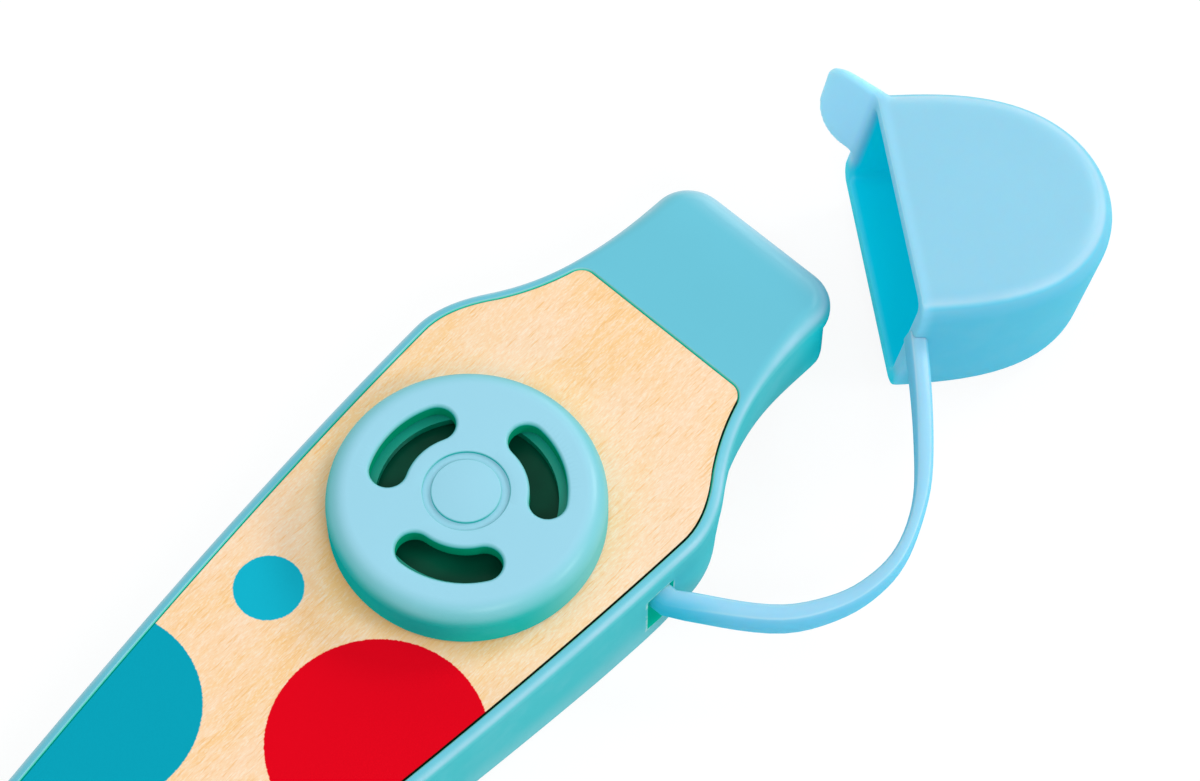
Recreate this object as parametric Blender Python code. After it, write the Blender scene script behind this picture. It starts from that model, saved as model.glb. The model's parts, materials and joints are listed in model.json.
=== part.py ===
"""Toy kazoo: a moulded body with a wooden top panel, a screw turret over the membrane,
and a silicone mouth cap on a strap. Metres, +Z up, +X towards the mouthpiece.
The turret turns about the Z axis, and the flat underside rests on z = 0."""

import bpy
import bmesh
from math import ceil, cos, hypot, pi, radians, sin, sqrt, tan
from mathutils import Matrix, Vector

for old in list(bpy.data.objects):
    bpy.data.objects.remove(old, do_unlink=True)

# Fits
SEAT_GAP = 0.0003           # between two pieces that touch
PANEL_GAP = 0.00028         # dark line round the wooden panel
THREAD_GAP = 0.0004         # turret skirt to its collar, beside the thread

# Body, seen from above
TIP_REACH = 0.0479          # turret axis to the front of the upper lip
TAIL_REACH = 0.075          # turret axis to the tail end
SHOULDER_X = 0.0132         # the widest place
SHOULDER_HALF = 0.02045
SHOULDER_TURN = radians(2.3)  # heading of the side there
FLARE_RUN = 0.0084          # from the widest place to where the curve turns hollow
FLARE_HALF = 0.0175
FLARE_TURN = radians(-34.6)
TIP_HALF = 0.01195
TIP_CORNER = 0.0048
TAIL_HALF = 0.0115
TAIL_TURN = radians(8)
TAIL_CORNER = 0.006

# Body, seen from the side
BODY_HEIGHT = 0.0132
KEEL_BACK = 0.034           # the flat underside runs this far behind the turret axis
KEEL_FRONT = 0.0065         # and this far ahead of it
NECK_RISE = 0.0039          # hollow under the neck
NECK_BACK_X = 0.0235
NECK_FRONT_X = 0.031
JAW_RISE = 0.0013           # underside of the mouthpiece at its tip
JAW_BACK = 0.0035           # tip to where the jaw is deepest
TAIL_RISE = 0.0025
RIM_ROUND = 0.0013          # top edge
LIP_ROUND = 0.0022          # top edge at the mouthpiece
LIP_THICK = 0.0033
LIP_LEDGE = 0.0005
LIP_OVERHANG = 0.00115      # upper lip ahead of the lower jaw
EDGE_ROUND = 0.0012         # lower edge under the turret
EDGE_TURN = radians(4)      # that rounding opens towards the tail at this angle
EDGE_ROUND_MOST = 0.004
JAW_ROUND = 0.0022

# Body, inside
WALL = 0.002
FLOOR = 0.0024
NECK_FLOOR = 0.0014
ROOF = 0.0018
DECK = 0.0012               # shelf that carries the panel
CHAMBER_ROUND = 0.0008
TAIL_HOLE_HALF = 0.0065
TAIL_HOLE_HEIGHT = 0.0048
TAIL_HOLE_ROUND = 0.0018

# Wooden panel
RIM_WIDTH = 0.00132
PANEL_THICK = 0.0016
PANEL_SINK = 0.0002         # panel face below the rim
MOUTH_LENGTH = 0.01705      # panel's front edge to the tip
PANEL_CORNER = 0.0013

# Bottom cover
COVER_INSET = 0.0054
COVER_THICK = 0.0011
COVER_LEDGE = 0.0015
COVER_END = 0.0015          # flat underside left beyond each end
COVER_CORNER = 0.003

# Turret
TURRET_RADIUS = 0.015
TURRET_TOP = 0.006          # height over the panel
TURRET_ROUND = 0.0024
TURRET_ROOF = 0.0019
SKIRT_WALL = 0.0026
COLLAR_WALL = 0.0021
FILM_THICK = 0.0002
RING_THICK = 0.001
RING_WIDTH = 0.0022
WINDOW_COUNT = 3
WINDOW_RADIUS = 0.0087      # middle of the windows
WINDOW_HALF = 0.0020
WINDOW_WEB = 0.0064
WINDOW_TURN = radians(90)
GROOVE_RADIUS = 0.0042
GROOVE_WIDTH = 0.0009
GROOVE_DEPTH = 0.00035

# Mouth cap
CAP_WIDTH = 0.0293
CAP_DEPTH = 0.0246
CAP_THICK = 0.0174
CAP_WALL = 0.0015
CAP_ROUND = 0.0021
CAP_BULGE = 3.0             # how full the round end is
CAP_AHEAD = 0.00818         # middle of the opening, ahead of the tip
CAP_ASIDE = 0.01018         # and to the right
CAP_LIFT = 0.0122           # and over the table
CAP_YAW = radians(-37.95)
CAP_PITCH = radians(8.84)
CAP_ROLL = radians(0.86)
TAB_LENGTH = 0.0064
TAB_WIDTH = 0.0118
TAB_THICK = 0.0013
TAB_CORNER_TOP = 0.0028
TAB_CORNER_LOW = 0.0052
TAB_RISE = 0.0026           # middle of the tab over the cap's middle
TAB_FLARE = radians(45)

# Strap
STRAP_DIAMETER = 0.0025
STRAP_X = 0.0084
SLOT_WIDTH = 0.0038
SLOT_HEIGHT = 0.0066
BAR_LENGTH = 0.0062         # cross bar behind the slot
BAR_SECTION = 0.0028
STEM_PROUD = 0.0002
STRAP_CAP_X = 0.0005        # strap on the cap, from the opening's edge
STRAP_CAP_Z = 0.00195
STRAP_LEAVE = radians(-60.5)  # heading where it leaves the body
STRAP_ARRIVE = radians(6.1)   # slant where it meets the cap
STRAP_OUT = 0.0286          # pull of the curve at the body
STRAP_IN = 0.0203           # and at the cap
STRAP_SPACING = 0.0056

# How finely curves are cut
ROUND_STEPS = 4
CORNER_STEPS = 6
TAIL_SPACING = 0.0052
BEND_SPACING = 0.0015
NECK_SPACING = 0.0026
TURN_STEPS = 60
STEM_STEPS = 12
CUP_STEPS = 18
CHAMBER_STEPS = 30
BEVEL_STEPS = 3
STRAP_SAMPLES = 200
SLOPE_SPAN = 0.00015        # distance over which a slope is measured
MERGE = 1e-6
SHARP = radians(35)         # edges sharper than this stay crisp
CLEAR = 0.004               # how far cutters reach past what they cut

# Colours and roughness
BODY_LOOK = ((0.13, 0.55, 0.62), 0.38)
COVER_LOOK = ((0.12, 0.50, 0.55), 0.40)
WOOD_LOOK = ((0.91, 0.62, 0.37), 0.55)
FILM_LOOK = ((0.003, 0.09, 0.055), 0.30)
RING_LOOK = ((0.02, 0.38, 0.30), 0.40)
TURRET_LOOK = ((0.29, 0.64, 0.78), 0.40)
CAP_LOOK = ((0.29, 0.66, 0.86), 0.50)
STRAP_LOOK = ((0.25, 0.60, 0.82), 0.50)

# Heights that several pieces share
PANEL_TOP = BODY_HEIGHT - PANEL_SINK
PANEL_BOTTOM = PANEL_TOP - PANEL_THICK
DECK_TOP = PANEL_BOTTOM - SEAT_GAP
DECK_BOTTOM = DECK_TOP - DECK
TURRET_FACE = PANEL_TOP + TURRET_TOP
RING_TOP = TURRET_FACE - TURRET_ROOF - SEAT_GAP
RING_BOTTOM = RING_TOP - RING_THICK
FILM_TOP = RING_BOTTOM - SEAT_GAP
FILM_BOTTOM = FILM_TOP - FILM_THICK
COLLAR_TOP = FILM_BOTTOM - SEAT_GAP
COLLAR_RADIUS = TURRET_RADIUS - SKIRT_WALL - THREAD_GAP
PANEL_FRONT = TIP_REACH - MOUTH_LENGTH
STRAP_Z = DECK_BOTTOM - SEAT_GAP - BAR_SECTION / 2


def blend(t):
    """Smooth step from 0 to 1."""
    t = min(max(t, 0.0), 1.0)
    return t * t * (3 - 2 * t)


def hermite(x, x0, y0, m0, x1, y1, m1):
    """Cubic through two points with given slopes."""
    run = x1 - x0
    t = (x - x0) / run
    a = (1 + 2 * t) * (1 - t) ** 2 * y0 + t * t * (3 - 2 * t) * y1
    return a + run * (t * (1 - t) ** 2 * m0 - t * t * (1 - t) * m1)


def half_width(x):
    """Half the body's width, without its rounded ends."""
    flare_x = SHOULDER_X + FLARE_RUN
    if x < SHOULDER_X:
        return hermite(x, -TAIL_REACH, TAIL_HALF, tan(TAIL_TURN),
                       SHOULDER_X, SHOULDER_HALF, tan(SHOULDER_TURN))
    if x < flare_x:
        return hermite(x, SHOULDER_X, SHOULDER_HALF, tan(SHOULDER_TURN),
                       flare_x, FLARE_HALF, tan(FLARE_TURN))
    end = TIP_REACH - TIP_CORNER / 2
    return hermite(min(x, end), flare_x, FLARE_HALF, tan(FLARE_TURN), end, TIP_HALF, 0.0)


def inset_half(x, inset):
    """Half width of the outline moved inwards, square to itself."""
    d = SLOPE_SPAN / 2
    slope = (half_width(x + d) - half_width(x - d)) / SLOPE_SPAN
    return half_width(x) - inset * sqrt(1 + slope * slope)


def keel(x):
    """Height of the underside: flat, hollow under the neck, deep again at the jaw."""
    jaw_x = TIP_REACH - JAW_BACK
    if x > NECK_FRONT_X:
        fall = blend((x - NECK_FRONT_X) / (jaw_x - NECK_FRONT_X))
        return NECK_RISE + (JAW_RISE - NECK_RISE) * fall
    if x > KEEL_FRONT:
        return NECK_RISE * blend((x - KEEL_FRONT) / (NECK_BACK_X - KEEL_FRONT))
    if x < -KEEL_BACK:
        return TAIL_RISE * ((-KEEL_BACK - x) / (TAIL_REACH - KEEL_BACK)) ** 2
    return 0.0


def edge_round(x):
    """Rounding of the lower edge, which grows towards the tail and at the jaw."""
    tail = min(EDGE_ROUND + tan(EDGE_TURN) * max(-x, 0.0), EDGE_ROUND_MOST)
    jaw = blend((x - NECK_FRONT_X) / (TIP_REACH - TIP_CORNER - NECK_FRONT_X))
    return tail + (JAW_ROUND - EDGE_ROUND) * jaw


def plan_left(inset, back, back_corner, front, front_corner):
    """Left side of a plan outline, tail to tip, with round corners at both ends."""
    flare_x = SHOULDER_X + FLARE_RUN
    start, stop = back + back_corner, front - front_corner
    points = []
    for k in range(CORNER_STEPS):
        turn = k * pi / 2 / CORNER_STEPS
        x = start - back_corner * cos(turn)
        points.append((x, inset_half(x, inset) - back_corner * (1 - sin(turn))))
    marks = [start] + [m for m in (SHOULDER_X, flare_x) if start < m < stop] + [stop]
    for low, high in zip(marks, marks[1:]):
        middle = (low + high) / 2
        step = TAIL_SPACING if middle < SHOULDER_X else BEND_SPACING
        step = NECK_SPACING if middle > flare_x else step
        count = ceil((high - low) / step)
        for k in range(count):
            x = low + (high - low) * k / count
            points.append((x, inset_half(x, inset)))
    for k in range(CORNER_STEPS + 1):
        turn = pi / 2 - k * pi / 2 / CORNER_STEPS
        x = stop + front_corner * cos(turn)
        points.append((x, inset_half(x, inset) - front_corner * (1 - sin(turn))))
    return points


def normals(points):
    """Outward direction at each point of a left side."""
    result = []
    for k in range(len(points)):
        a, b = points[max(k - 1, 0)], points[min(k + 1, len(points) - 1)]
        dx, dy = b[0] - a[0], b[1] - a[1]
        size = hypot(dx, dy)
        result.append((-dy / size, dx / size))
    result[0], result[-1] = (-1.0, 0.0), (1.0, 0.0)
    return result


def mirrored(left):
    """Closed ring from the points of its left side."""
    return left + [(x, -y, z) for x, y, z in reversed(left)]


def finish(obj, look):
    """Gives an object its own material and smooth round faces."""
    colour, roughness = look
    material = bpy.data.materials.new(obj.name + "_material")
    material.use_nodes = True
    shader = material.node_tree.nodes["Principled BSDF"]
    shader.inputs["Base Color"].default_value = (*colour, 1.0)
    shader.inputs["Roughness"].default_value = roughness
    shader.inputs["Metallic"].default_value = 0.0
    obj.data.materials.append(material)
    if obj.type == "MESH":
        obj.data.shade_smooth()
        obj.data.set_sharp_from_angle(angle=SHARP)
    return obj


def solid(name, bm):
    """Object from a bmesh, with its faces turned outwards."""
    bmesh.ops.recalc_face_normals(bm, faces=bm.faces)
    mesh = bpy.data.meshes.new(name)
    bm.to_mesh(mesh)
    bm.free()
    obj = bpy.data.objects.new(name, mesh)
    bpy.context.scene.collection.objects.link(obj)
    return obj


def skin(name, rings):
    """Solid through a row of mirrored rings, closed by strips from side to side."""
    bm = bmesh.new()
    rows = [[bm.verts.new(p) for p in ring] for ring in rings]
    size = len(rows[0])
    for low, high in zip(rows, rows[1:]):
        for k in range(size):
            n = (k + 1) % size
            bm.faces.new((low[k], low[n], high[n], high[k]))
    for row in (rows[0], rows[-1]):
        for k in range(size // 2 - 1):
            bm.faces.new((row[k], row[k + 1], row[size - 2 - k], row[size - 1 - k]))
    return solid(name, bm)


def prism(name, outline, low, high):
    """Upright solid over a plan outline."""
    bm = bmesh.new()
    base = bm.faces.new([bm.verts.new((x, y, low)) for x, y in outline])
    grown = bmesh.ops.extrude_face_region(bm, geom=[base])["geom"]
    tops = [v for v in grown if isinstance(v, bmesh.types.BMVert)]
    bmesh.ops.translate(bm, verts=tops, vec=(0, 0, high - low))
    return solid(name, bm)


def turned(name, profile, steps=TURN_STEPS):
    """Solid turned about Z from a closed profile; a point on the axis becomes a pole."""
    bm = bmesh.new()
    columns = []
    for k in range(steps):
        a = 2 * pi * k / steps
        columns.append([bm.verts.new((r * cos(a), r * sin(a), z)) for r, z in profile])
    size = len(profile)
    for k in range(steps):
        here, there = columns[k], columns[(k + 1) % steps]
        for m in range(size):
            n = (m + 1) % size
            if profile[m][0] or profile[n][0]:
                bm.faces.new((here[m], here[n], there[n], there[m]))
    bmesh.ops.remove_doubles(bm, verts=bm.verts, dist=MERGE)
    return solid(name, bm)


def rounded_box(name, size, rounding):
    """Box about the origin with all its edges rounded."""
    bm = bmesh.new()
    bmesh.ops.create_cube(bm, size=1.0, matrix=Matrix.Diagonal((*size, 1.0)))
    if rounding:
        bmesh.ops.bevel(bm, geom=list(bm.edges), offset=rounding, segments=BEVEL_STEPS,
                        profile=0.5, affect="EDGES")
    return solid(name, bm)


def combine(obj, other, operation):
    """Boolean with a helper object that isn't part of the model."""
    other.hide_render = True
    other.display_type = "WIRE"
    modifier = obj.modifiers.new(other.name, "BOOLEAN")
    modifier.operation = operation
    modifier.solver = "EXACT"
    modifier.object = other
    return obj


def section(x, half, low, high, rounding):
    """Ring across the body at x, with rounded corners."""
    left = []
    for k in range(ROUND_STEPS + 1):
        a = k * pi / 2 / ROUND_STEPS
        left.append((x, half - rounding * (1 - sin(a)), low + rounding * (1 - cos(a))))
    for k in range(ROUND_STEPS + 1):
        a = k * pi / 2 / ROUND_STEPS
        left.append((x, half - rounding * (1 - cos(a)), high - rounding * (1 - sin(a))))
    return mirrored(left)


def plan_rings(points, levels):
    """Rings over a left side; each level is a rule that gives inset and height."""
    outward = normals(points)
    rings = []
    for level in levels:
        left = []
        for (x, y), (nx, ny) in zip(points, outward):
            inset, z = level(x, nx)
            left.append((x - nx * inset, y - ny * inset, z))
        rings.append(mirrored(left))
    return rings


def flat(inset, z):
    """Level that is the same all round."""
    return lambda x, nx: (inset, z)


# Body: outline rings from the underside up, with the lower jaw set back under the lip
def jaw_back(nx):
    return LIP_OVERHANG * max(nx, 0.0)


def lower_level(a):
    return lambda x, nx: (edge_round(x) * (1 - sin(a)) + jaw_back(nx),
                          keel(x) + edge_round(x) * (1 - cos(a)))


def upper_level(a):
    def level(x, nx):
        swell = blend((x - PANEL_FRONT) / (TIP_REACH - TIP_CORNER - PANEL_FRONT))
        rounding = RIM_ROUND + (LIP_ROUND - RIM_ROUND) * swell
        return rounding * (1 - cos(a)), BODY_HEIGHT - rounding * (1 - sin(a))
    return level


quarter = [k * pi / 2 / ROUND_STEPS for k in range(ROUND_STEPS + 1)]
lip_bottom = BODY_HEIGHT - LIP_THICK
levels = [lower_level(a) for a in quarter]
levels.append(lambda x, nx: (jaw_back(nx), lip_bottom - LIP_LEDGE))
levels.append(flat(0.0, lip_bottom))
levels += [upper_level(a) for a in quarter]
outer = plan_left(0.0, -TAIL_REACH, TAIL_CORNER, TIP_REACH, TIP_CORNER)
body = skin("body_shell", plan_rings(outer, levels))

# Recess for the panel, inside the rim
recess = plan_left(RIM_WIDTH, -TAIL_REACH + RIM_WIDTH, TAIL_CORNER - RIM_WIDTH,
                   PANEL_FRONT + PANEL_GAP, PANEL_CORNER + PANEL_GAP)
combine(body, skin("recess_cut", plan_rings(recess, [flat(0.0, DECK_TOP),
                                                     flat(0.0, BODY_HEIGHT + CLEAR)])),
        "DIFFERENCE")

# Air way from the mouth to the tail wall: low under the deck, higher in the mouthpiece
chamber = []
chamber_back = -TAIL_REACH + WALL
for k in range(CHAMBER_STEPS + 1):
    x = chamber_back + (TIP_REACH + CLEAR - chamber_back) * k / CHAMBER_STEPS
    inside = min(x, TIP_REACH - TIP_CORNER)
    thin = blend((x - KEEL_FRONT) / (NECK_BACK_X - KEEL_FRONT))
    floor = keel(inside) + FLOOR + (NECK_FLOOR - FLOOR) * thin
    lift = blend((x - PANEL_FRONT) / NECK_SPACING)
    ceiling = DECK_BOTTOM + (BODY_HEIGHT - ROOF - DECK_BOTTOM) * lift
    corner = max(TAIL_CORNER - WALL - (x - chamber_back), 0.0)
    half = inset_half(inside, WALL) - corner
    chamber.append(section(x, half, floor, ceiling, CHAMBER_ROUND))
combine(body, skin("chamber_cut", chamber), "DIFFERENCE")

# Collar for the turret, with the sound hole through it and the deck
collar_hole = COLLAR_RADIUS - COLLAR_WALL
combine(body, turned("collar_add", [(COLLAR_RADIUS, COLLAR_TOP),
                                    (COLLAR_RADIUS, DECK_TOP - DECK / 2),
                                    (collar_hole - DECK / 2, DECK_TOP - DECK / 2),
                                    (collar_hole - DECK / 2, COLLAR_TOP)]), "UNION")
combine(body, turned("hole_cut", [(0.0, COLLAR_TOP + CLEAR), (collar_hole, COLLAR_TOP + CLEAR),
                                  (collar_hole, DECK_BOTTOM - DECK),
                                  (0.0, DECK_BOTTOM - DECK)]), "DIFFERENCE")

# Sound opening in the tail wall
tail_middle = (keel(chamber_back) + FLOOR + DECK_BOTTOM) / 2
tail_cut = rounded_box("tail_cut", (2 * (WALL + CLEAR), 2 * TAIL_HOLE_HALF, TAIL_HOLE_HEIGHT),
                       0.0)
edge = tail_cut.modifiers.new("rounding", "BEVEL")
edge.width, edge.segments, edge.limit_method = TAIL_HOLE_ROUND, BEVEL_STEPS, "ANGLE"
tail_cut.location = (-TAIL_REACH, 0.0, tail_middle)
combine(body, tail_cut, "DIFFERENCE")

# Slot in the right wall for the strap
wall_y = -half_width(STRAP_X)
slot = rounded_box("slot_cut", (SLOT_WIDTH, 2 * (WALL + SEAT_GAP), SLOT_HEIGHT), 0.0)
slot.location = (STRAP_X, wall_y, DECK_BOTTOM - SLOT_HEIGHT / 2)
combine(body, slot, "DIFFERENCE")

# Opening in the underside, with a ledge that the cover sits against
cover_back, cover_front = -KEEL_BACK + COVER_END, KEEL_FRONT - COVER_END
seat = plan_left(COVER_INSET, cover_back, COVER_CORNER, cover_front, COVER_CORNER)
combine(body, skin("seat_cut", plan_rings(seat, [flat(0.0, -CLEAR),
                                                 flat(0.0, COVER_THICK + SEAT_GAP)])),
        "DIFFERENCE")
through = plan_left(COVER_INSET + COVER_LEDGE, cover_back + COVER_LEDGE,
                    COVER_CORNER - COVER_LEDGE, cover_front - COVER_LEDGE,
                    COVER_CORNER - COVER_LEDGE)
combine(body, skin("through_cut", plan_rings(through, [flat(0.0, COVER_THICK),
                                                       flat(0.0, FLOOR + CLEAR / 2)])),
        "DIFFERENCE")
finish(body, BODY_LOOK)

# Bottom cover, flush with the underside
lid = plan_left(COVER_INSET + SEAT_GAP, cover_back + SEAT_GAP, COVER_CORNER - SEAT_GAP,
                cover_front - SEAT_GAP, COVER_CORNER - SEAT_GAP)
cover = skin("bottom_cover", plan_rings(lid, [flat(0.0, 0.0), flat(0.0, COVER_THICK)]))
finish(cover, COVER_LOOK)

# Wooden panel in the recess, with a hole that clears the collar
board = plan_left(RIM_WIDTH + PANEL_GAP, -TAIL_REACH + RIM_WIDTH + PANEL_GAP,
                  TAIL_CORNER - RIM_WIDTH - PANEL_GAP, PANEL_FRONT, PANEL_CORNER)
panel = skin("top_panel", plan_rings(board, [flat(0.0, PANEL_BOTTOM), flat(0.0, PANEL_TOP)]))
panel_hole = COLLAR_RADIUS + SEAT_GAP
combine(panel, turned("panel_hole_cut", [(0.0, PANEL_TOP + CLEAR), (panel_hole, PANEL_TOP + CLEAR),
                                         (panel_hole, PANEL_BOTTOM - CLEAR),
                                         (0.0, PANEL_BOTTOM - CLEAR)]), "DIFFERENCE")
finish(panel, WOOD_LOOK)

# Membrane on the collar, and the ring that clamps it
film = turned("membrane", [(0.0, FILM_TOP), (COLLAR_RADIUS, FILM_TOP),
                           (COLLAR_RADIUS, FILM_BOTTOM), (0.0, FILM_BOTTOM)])
finish(film, FILM_LOOK)
ring = turned("clamp_ring", [(COLLAR_RADIUS, 0.0), (COLLAR_RADIUS, -RING_THICK),
                             (COLLAR_RADIUS - RING_WIDTH, -RING_THICK),
                             (COLLAR_RADIUS - RING_WIDTH, 0.0)])
ring.location = (0.0, 0.0, RING_TOP)
finish(ring, RING_LOOK)

# Turret cap: rounded shell with a plain skirt, kidney windows and one ring groove
skirt = TURRET_RADIUS - SKIRT_WALL
skirt_bottom = SEAT_GAP - TURRET_TOP
profile = [(0.0, 0.0), (GROOVE_RADIUS - GROOVE_WIDTH / 2, 0.0),
           (GROOVE_RADIUS - GROOVE_WIDTH / 2, -GROOVE_DEPTH),
           (GROOVE_RADIUS + GROOVE_WIDTH / 2, -GROOVE_DEPTH),
           (GROOVE_RADIUS + GROOVE_WIDTH / 2, 0.0)]
for a in quarter:
    profile.append((TURRET_RADIUS - TURRET_ROUND * (1 - sin(a)), -TURRET_ROUND * (1 - cos(a))))
profile += [(TURRET_RADIUS, skirt_bottom), (skirt, skirt_bottom), (skirt, -TURRET_ROOF),
            (0.0, -TURRET_ROOF)]
turret = turned("turret_cap", profile)
turret.location = (0.0, 0.0, TURRET_FACE)
share = pi / WINDOW_COUNT
spread = share - (WINDOW_WEB / 2 + WINDOW_HALF) / WINDOW_RADIUS
for n in range(WINDOW_COUNT):
    middle = WINDOW_TURN + 2 * n * share
    outline = []
    for k in range(CORNER_STEPS + 1):
        a = middle - spread + 2 * spread * k / CORNER_STEPS
        outline.append(((WINDOW_RADIUS + WINDOW_HALF) * cos(a),
                        (WINDOW_RADIUS + WINDOW_HALF) * sin(a)))
    for end, way in ((middle + spread, 1), (middle - spread, -1)):
        if way < 0:
            for k in range(CORNER_STEPS + 1):
                a = middle + spread - 2 * spread * k / CORNER_STEPS
                outline.append(((WINDOW_RADIUS - WINDOW_HALF) * cos(a),
                                (WINDOW_RADIUS - WINDOW_HALF) * sin(a)))
        for k in range(1, CORNER_STEPS):
            a = end + pi * k / CORNER_STEPS + (0.0 if way > 0 else pi)
            outline.append((WINDOW_RADIUS * cos(end) + WINDOW_HALF * cos(a),
                            WINDOW_RADIUS * sin(end) + WINDOW_HALF * sin(a)))
    window = prism("window_cut_%d" % n, outline, -TURRET_ROOF - SEAT_GAP / 2, CLEAR)
    window.location = turret.location
    combine(turret, window, "DIFFERENCE")
finish(turret, TURRET_LOOK)

# Mouth cap: a flat cup with a round end; its own X runs from the opening to the end
swing = bpy.data.objects.new("cap_swing_axis", None)
bpy.context.scene.collection.objects.link(swing)
swing.location = (STRAP_X, wall_y, 0.0)
place = (Matrix.Translation((TIP_REACH + CAP_AHEAD, -CAP_ASIDE, CAP_LIFT))
         @ Matrix.Rotation(CAP_YAW, 4, "Z") @ Matrix.Rotation(CAP_PITCH, 4, "Y")
         @ Matrix.Rotation(CAP_ROLL, 4, "X"))


def cup_ring(half, depth, z, run_out):
    """Ring of the cup's plan at one height; run_out carries it past the opening."""
    left = [(-run_out, half, z)] if run_out else []
    for k in range(CUP_STEPS):
        a = k * pi / (2 * CUP_STEPS - 1)
        left.append((depth * sin(a) ** (2 / CAP_BULGE), half * cos(a), z))
    return mirrored(left)


def cup(name, wall, rounding, run_out):
    half, depth, thick = CAP_WIDTH / 2 - wall, CAP_DEPTH - wall, CAP_THICK / 2 - wall
    rings = []
    for a in quarter:
        inset = rounding * (1 - sin(a))
        rings.append(cup_ring(half - inset, depth - inset, -thick + rounding * (1 - cos(a)),
                              run_out))
    for a in reversed(quarter):
        inset = rounding * (1 - sin(a))
        rings.append(cup_ring(half - inset, depth - inset, thick - rounding * (1 - cos(a)),
                              run_out))
    return skin(name, rings)


cap = cup("mouth_cap", 0.0, CAP_ROUND, 0.0)
hollow = cup("hollow_cut", CAP_WALL, max(CAP_ROUND - CAP_WALL / 2, CAP_WALL / 4), CLEAR)
tab_half = TAB_WIDTH / 2
tongue = [(-CAP_WALL / 2, tab_half), (-CAP_WALL / 2, -tab_half)]
for corner, way in ((TAB_CORNER_LOW, -1), (TAB_CORNER_TOP, 1)):
    turns = [k * pi / 2 / CORNER_STEPS for k in range(CORNER_STEPS + 1)]
    for a in turns if way < 0 else reversed(turns):
        tongue.append((TAB_LENGTH - corner * (1 - sin(a)),
                       way * (tab_half - corner * (1 - cos(a)))))
tab = prism("tab_add", tongue, -TAB_THICK / 2, TAB_THICK / 2)
tab.matrix_basis = (Matrix.Translation((TAB_THICK / 2, CAP_WIDTH / 2 - CAP_WALL / 2, TAB_RISE))
                    @ Matrix.Rotation(pi / 2 + TAB_FLARE, 4, "Z")
                    @ Matrix.Rotation(pi / 2, 4, "X"))
combine(cap, tab, "UNION")
combine(cap, hollow, "DIFFERENCE")
from_axis = Matrix.Translation(-swing.location)
for piece in (cap, hollow, tab):
    piece.parent = swing
    piece.matrix_basis = from_axis @ place @ piece.matrix_basis
finish(cap, CAP_LOOK)

# Strap anchor: a stem through the slot and a cross bar behind the wall
strap_radius = STRAP_DIAMETER / 2
bar_y = wall_y + WALL + SEAT_GAP + BAR_SECTION / 2
anchor = rounded_box("strap_anchor", (BAR_LENGTH, BAR_SECTION, BAR_SECTION), BAR_SECTION / 4)
anchor.location = (STRAP_X, bar_y, STRAP_Z)
stem_length = bar_y - wall_y + STEM_PROUD
stem = turned("stem_add", [(0.0, stem_length), (strap_radius, stem_length), (strap_radius, 0.0),
                           (0.0, 0.0)], STEM_STEPS)
stem.matrix_basis = (Matrix.Translation((STRAP_X, bar_y, STRAP_Z))
                     @ Matrix.Rotation(pi / 2, 4, "X"))
combine(anchor, stem, "UNION")
finish(anchor, STRAP_LOOK)

# Strap: one smooth curve from the stem to the side of the cap
side_y = -CAP_WIDTH / 2 - SEAT_GAP - strap_radius * sin(STRAP_ARRIVE)
side = place @ Vector((STRAP_CAP_X, side_y, STRAP_CAP_Z))
away = place.to_3x3() @ Vector((-sin(STRAP_ARRIVE), -cos(STRAP_ARRIVE), 0.0))
tilt = strap_radius * abs(cos(STRAP_LEAVE))
first = Vector((STRAP_X, wall_y - STEM_PROUD - SEAT_GAP - tilt, STRAP_Z))
pulls = (first, first + STRAP_OUT * Vector((cos(STRAP_LEAVE), sin(STRAP_LEAVE), 0.0)),
         side + STRAP_IN * away, side)


def strap_point(t):
    a, b, c, d = pulls
    return (1 - t) ** 3 * a + 3 * t * (1 - t) ** 2 * b + 3 * t * t * (1 - t) * c + t ** 3 * d


fine = [strap_point(k / STRAP_SAMPLES) for k in range(STRAP_SAMPLES + 1)]
strap_length = sum((b - a).length for a, b in zip(fine, fine[1:]))
count = ceil(strap_length / STRAP_SPACING)
curve = bpy.data.curves.new("cap_strap", "CURVE")
curve.dimensions = "3D"
curve.bevel_depth = strap_radius
curve.bevel_resolution = 2
curve.use_fill_caps = True
spline = curve.splines.new("POLY")
spline.points.add(count)
for k in range(count + 1):
    spline.points[k].co = (*strap_point(k / count), 1.0)
strap = bpy.data.objects.new("cap_strap", curve)
bpy.context.scene.collection.objects.link(strap)
finish(strap, STRAP_LOOK)
print("strap length mm %.1f" % (1000 * strap_length))
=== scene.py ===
# %% [markdown]
# # A toy kazoo, dressed for its picture
# The solid model of the kazoo is already packed as a frame: one object for each part, in
# metres, standing on z = 0 with +X towards the mouthpiece and the turret on the Z axis.
# This lesson loads that frame, builds finer pieces over it and gives each one a finish.

# %% Load the frame
import json
from math import ceil, copysign, cos, degrees, exp, hypot, pi, radians, sin, sqrt, tan
import bmesh
import bpy
import numpy as np
from mathutils import Matrix, Vector

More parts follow.
